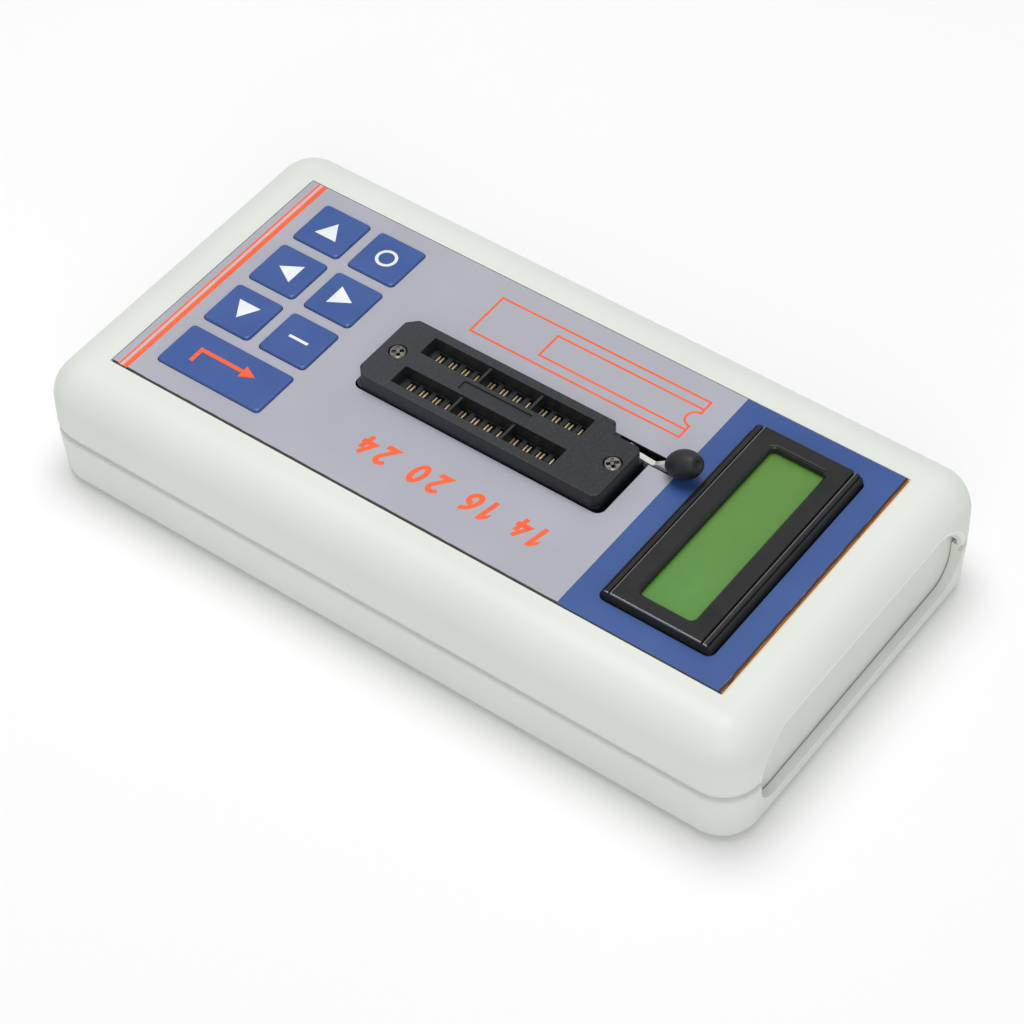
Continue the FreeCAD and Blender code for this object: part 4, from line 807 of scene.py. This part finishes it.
def screws(node, tree):
    """Screws at the corners of the CAD screws' box, in their place."""
    sizes, heads_below = SCREWS[node]
    radius = sizes[0] * MM
    low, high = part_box(node)
    z = low.z if heads_below else high.z
    one_column = high.x - low.x <= 4 * radius
    columns = [(low.x + high.x) / 2] if one_column else [low.x + radius, high.x - radius]
    spots = [(x, y, z) for x in columns for y in (low.y + radius, high.y - radius)]
    mesh = bpy.data.meshes.new(node + "_spots")
    mesh.from_pydata(spots, [], [])
    blank = bpy.data.objects.new(node + "_spots", mesh)
    bpy.context.scene.collection.objects.link(blank)
    maker = blank.modifiers.new("screws", "NODES")
    maker.node_group = tree
    settings = dict(zip(SCREW_SIZES, [size * MM for size in sizes]))
    settings["Lean"] = math.pi if heads_below else 0.0
    settings["Finish"] = finishes["screw_steel"]
    for item in tree.interface.items_tree:
        if item.in_out == "INPUT" and item.name in settings:
            maker[item.identifier] = settings[item.name]
    blank.update_tag()
    mesh = settled(blank)
    mesh.shade_smooth()
    mesh.set_sharp_from_angle(angle=EDGE_ANGLE)
    made = piece("cross_" + node, mesh, "case", "screw_steel")
    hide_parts(node)
    return made


cross_head = screw_tree()
for node in SCREWS:
    screws(node, cross_head)


# Print on the film

def film_zone(name, low_y, high_y, finish):
    """A printed zone: the film's own top between two places along the case, openings and all."""
    shape = bmesh.new()
    shape.from_mesh(nodes["front_film"].data)
    bmesh.ops.remove_doubles(shape, verts=shape.verts, dist=MERGE)
    hidden = []
    for face in shape.faces:
        off_top = abs(face.calc_center_median().z - film_high.z) > SAME_LEVEL
        if off_top or face.normal.z < FACING_UP:
            hidden.append(face)
    bmesh.ops.delete(shape, geom=hidden, context="FACES")
    for spot, outward in ((low_y, -1), (high_y, 1)):
        everything = shape.verts[:] + shape.edges[:] + shape.faces[:]
        bmesh.ops.bisect_plane(shape, geom=everything, plane_co=(0, spot, 0),
                               plane_no=(0, outward, 0), clear_outer=True)
    thicken(shape, INK)
    return piece(name, mesh_of(name, shape), "case", finish)


def placing_diagram():
    """Beside the socket: the outline of a chip with its end notch, and a shorter chip inside it."""
    left, right, low, high = DIAGRAM_OUTER
    middle = (left + right) / 2
    outline = [(left, high), (left, low), (right, low), (right, high)]
    outline += arc(middle, high, DIAGRAM_NOTCH, DIAGRAM_NOTCH, 0, -180, NOTCH_STEPS)
    polygons = ribbon(outline, DIAGRAM_LINE, closed=True)
    left, right, low = DIAGRAM_INNER
    end = high - DIAGRAM_LINE / 2
    polygons += ribbon([(left, end), (left, low), (right, low), (right, end)], DIAGRAM_LINE)
    turn = Matrix.Translation(ROW_PLACE)
    return ink("placing_diagram", polygons, turn, film_high.z, "case", "print_orange")


def number_strokes():
    """Each digit's width and polygons, one unit high, with no stroke laid over another."""
    stroke = NUMBER_STROKE
    half = stroke / 2
    low, high = half, 1 - half

    def bend(x, y, wide, tall, start, stop):
        """The middle of a round stroke whose outside is an oval."""
        return arc(x, y, wide - half, tall - half, start, stop, NUMBER_STEPS)

    stem = 0.28
    one = [(stem + half, 0), (stem + half, 1), (stem - half, 1), (0, 0.78), (0, 0.56),
           (stem - half, 0.74), (stem - half, 0)]
    bar = 0.32
    post = 0.46
    four = ribbon([(0.36, high), (half, bar), (0.66, bar)], stroke)
    four += ribbon([(post, 0.66), (post, bar + half)], stroke)
    four += ribbon([(post, bar - half), (post, 0)], stroke)
    zero = ribbon(bend(0.32, 0.5, 0.32, 0.5, 0, 360)[:-1], stroke, closed=True)
    crown = bend(0.31, 0.70, 0.31, 0.30, 160, -40)
    two = ribbon(crown + [(half + 0.06, low), (0.62, low)], stroke)
    bowl = bend(0.32, 0.32, 0.32, 0.32, 180, 462)
    tail = bend(0.56, 0.32, 0.56, 0.68, 95, 180)
    six = ribbon(tail[:-1] + bowl, stroke)
    return {"1": (0.38, [one]), "2": (0.62, two), "4": (0.66, four), "6": (0.64, six),
            "0": (0.64, zero)}


def number_print():
    """Plain pin counts along the socket, read from the display end."""
    digits = number_strokes()
    polygons = []
    pen = 0.0
    for sign in NUMBERS:
        if sign == " ":
            pen += NUMBER_SPACE
            continue
        width, shapes = digits[sign]
        for shape in shapes:
            polygons.append([(pen + u + NUMBERS_SLANT * v, v) for u, v in shape])
        pen += width + NUMBER_GAP
    length = pen - NUMBER_GAP + NUMBERS_SLANT
    size = Matrix.Diagonal((NUMBERS_LENGTH / length, NUMBERS_HEIGHT, 1, 1))
    turn = Matrix.Translation(NUMBERS_MIDDLE + ROW_PLACE)
    turn = turn @ Matrix.Rotation(math.radians(-90), 4, "Z")
    turn = turn @ size @ Matrix.Translation((-length / 2, -0.5, 0))
    return ink("number_print", polygons, turn, film_high.z, "case", "print_orange")


film_zone("film_blue", film_high.y - BLUE_ZONE, film_high.y - BROWN_EDGE, "print_blue")
for name, (start, stop, finish) in STRIPES.items():
    film_zone(name, film_low.y + start, film_low.y + stop, finish)
placing_diagram()
number_print()


# Symbols on the keys

def key_symbol(key):
    """One key's symbol, laid on the key's top and moving with it."""
    low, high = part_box("key_" + key)
    middle = (low + high) / 2
    turn = Matrix.Translation((middle.x, middle.y, 0))
    finish = "print_white"
    if key in KEY_TURNS:
        turn = turn @ Matrix.Rotation(math.radians(KEY_TURNS[key]), 4, "Z")
        half, tip = ARROW_BASE / 2, ARROW_HEIGHT / 2
        polygons = [((-half, -tip), (half, -tip), (0, tip))]
    elif key == "ring":
        ring = arc(0, 0, RING_RADIUS, RING_RADIUS, 0, 360, RING_STEPS)
        polygons = ribbon(ring[:-1], SYMBOL_LINE, closed=True)
    elif key == "bar":
        polygons = ribbon([(0, -BAR_LENGTH / 2), (0, BAR_LENGTH / 2)], SYMBOL_LINE)
    else:
        finish = "print_orange"
        turn = turn @ Matrix.Rotation(math.radians(-90), 4, "Z")
        far = RETURN_LENGTH / 2
        floor = -RETURN_RISE / 4
        neck = -far + RETURN_HEAD
        polygons = ribbon([(far, RETURN_RISE * RETURN_TOP), (far, floor), (neck, floor)],
                          RETURN_LINE)
        polygons.append(((-far, floor), (neck, floor - RETURN_HEAD / 2),
                         (neck, floor + RETURN_HEAD / 2)))
    return ink("symbol_" + key, polygons, turn, high.z, key + "_key", finish)


for key in KEY_NAMES:
    key_symbol(key)


# Studio, camera and light

def studio():
    """A white floor and an even white surrounding."""
    floor_mesh = bpy.data.meshes.new("studio_floor")
    half = FLOOR_SIZE / 2
    corners = [(-half, -half, 0), (half, -half, 0), (half, half, 0), (-half, half, 0)]
    floor_mesh.from_pydata(corners, [], [(0, 1, 2, 3)])
    floor = bpy.data.objects.new("studio_floor", floor_mesh)
    bpy.context.scene.collection.objects.link(floor)
    floor_mesh.materials.append(finishes["studio_floor"])
    world = bpy.data.worlds.new("studio")
    world.use_nodes = True
    background = world.node_tree.nodes["Background"]
    background.inputs["Color"].default_value = (1.0, 1.0, 1.0, 1.0)
    background.inputs["Strength"].default_value = WORLD_STRENGTH
    bpy.context.scene.world = world


def softbox(name, spot, size, power):
    """A square lamp that faces the part's origin."""
    lamp = bpy.data.lights.new(name, "AREA")
    lamp.shape = "SQUARE"
    lamp.size = size
    lamp.energy = power
    holder = bpy.data.objects.new(name, lamp)
    holder.location = spot
    holder.rotation_euler = (-spot).to_track_quat("-Z", "Y").to_euler()
    bpy.context.scene.collection.objects.link(holder)


def camera():
    """The camera, aimed and rolled."""
    lens = bpy.data.cameras.new("photo_view")
    lens.lens = CAMERA_LENS
    lens.sensor_width = CAMERA_SENSOR
    lens.clip_start, lens.clip_end = CAMERA_CLIP
    holder = bpy.data.objects.new("photo_view", lens)
    turn = (CAMERA_AIM - CAMERA_PLACE).to_track_quat("-Z", "Y").to_matrix().to_4x4()
    roll = Matrix.Rotation(CAMERA_ROLL, 4, "Z")
    holder.matrix_world = Matrix.Translation(CAMERA_PLACE) @ turn @ roll
    bpy.context.scene.collection.objects.link(holder)
    bpy.context.scene.camera = holder


studio()
softbox("overhead_softbox", SOFTBOX_PLACE, SOFTBOX_SIZE, SOFTBOX_POWER)
softbox("front_fill", FILL_PLACE, FILL_SIZE, FILL_POWER)
camera()
bpy.context.scene.view_settings.view_transform = "Standard"
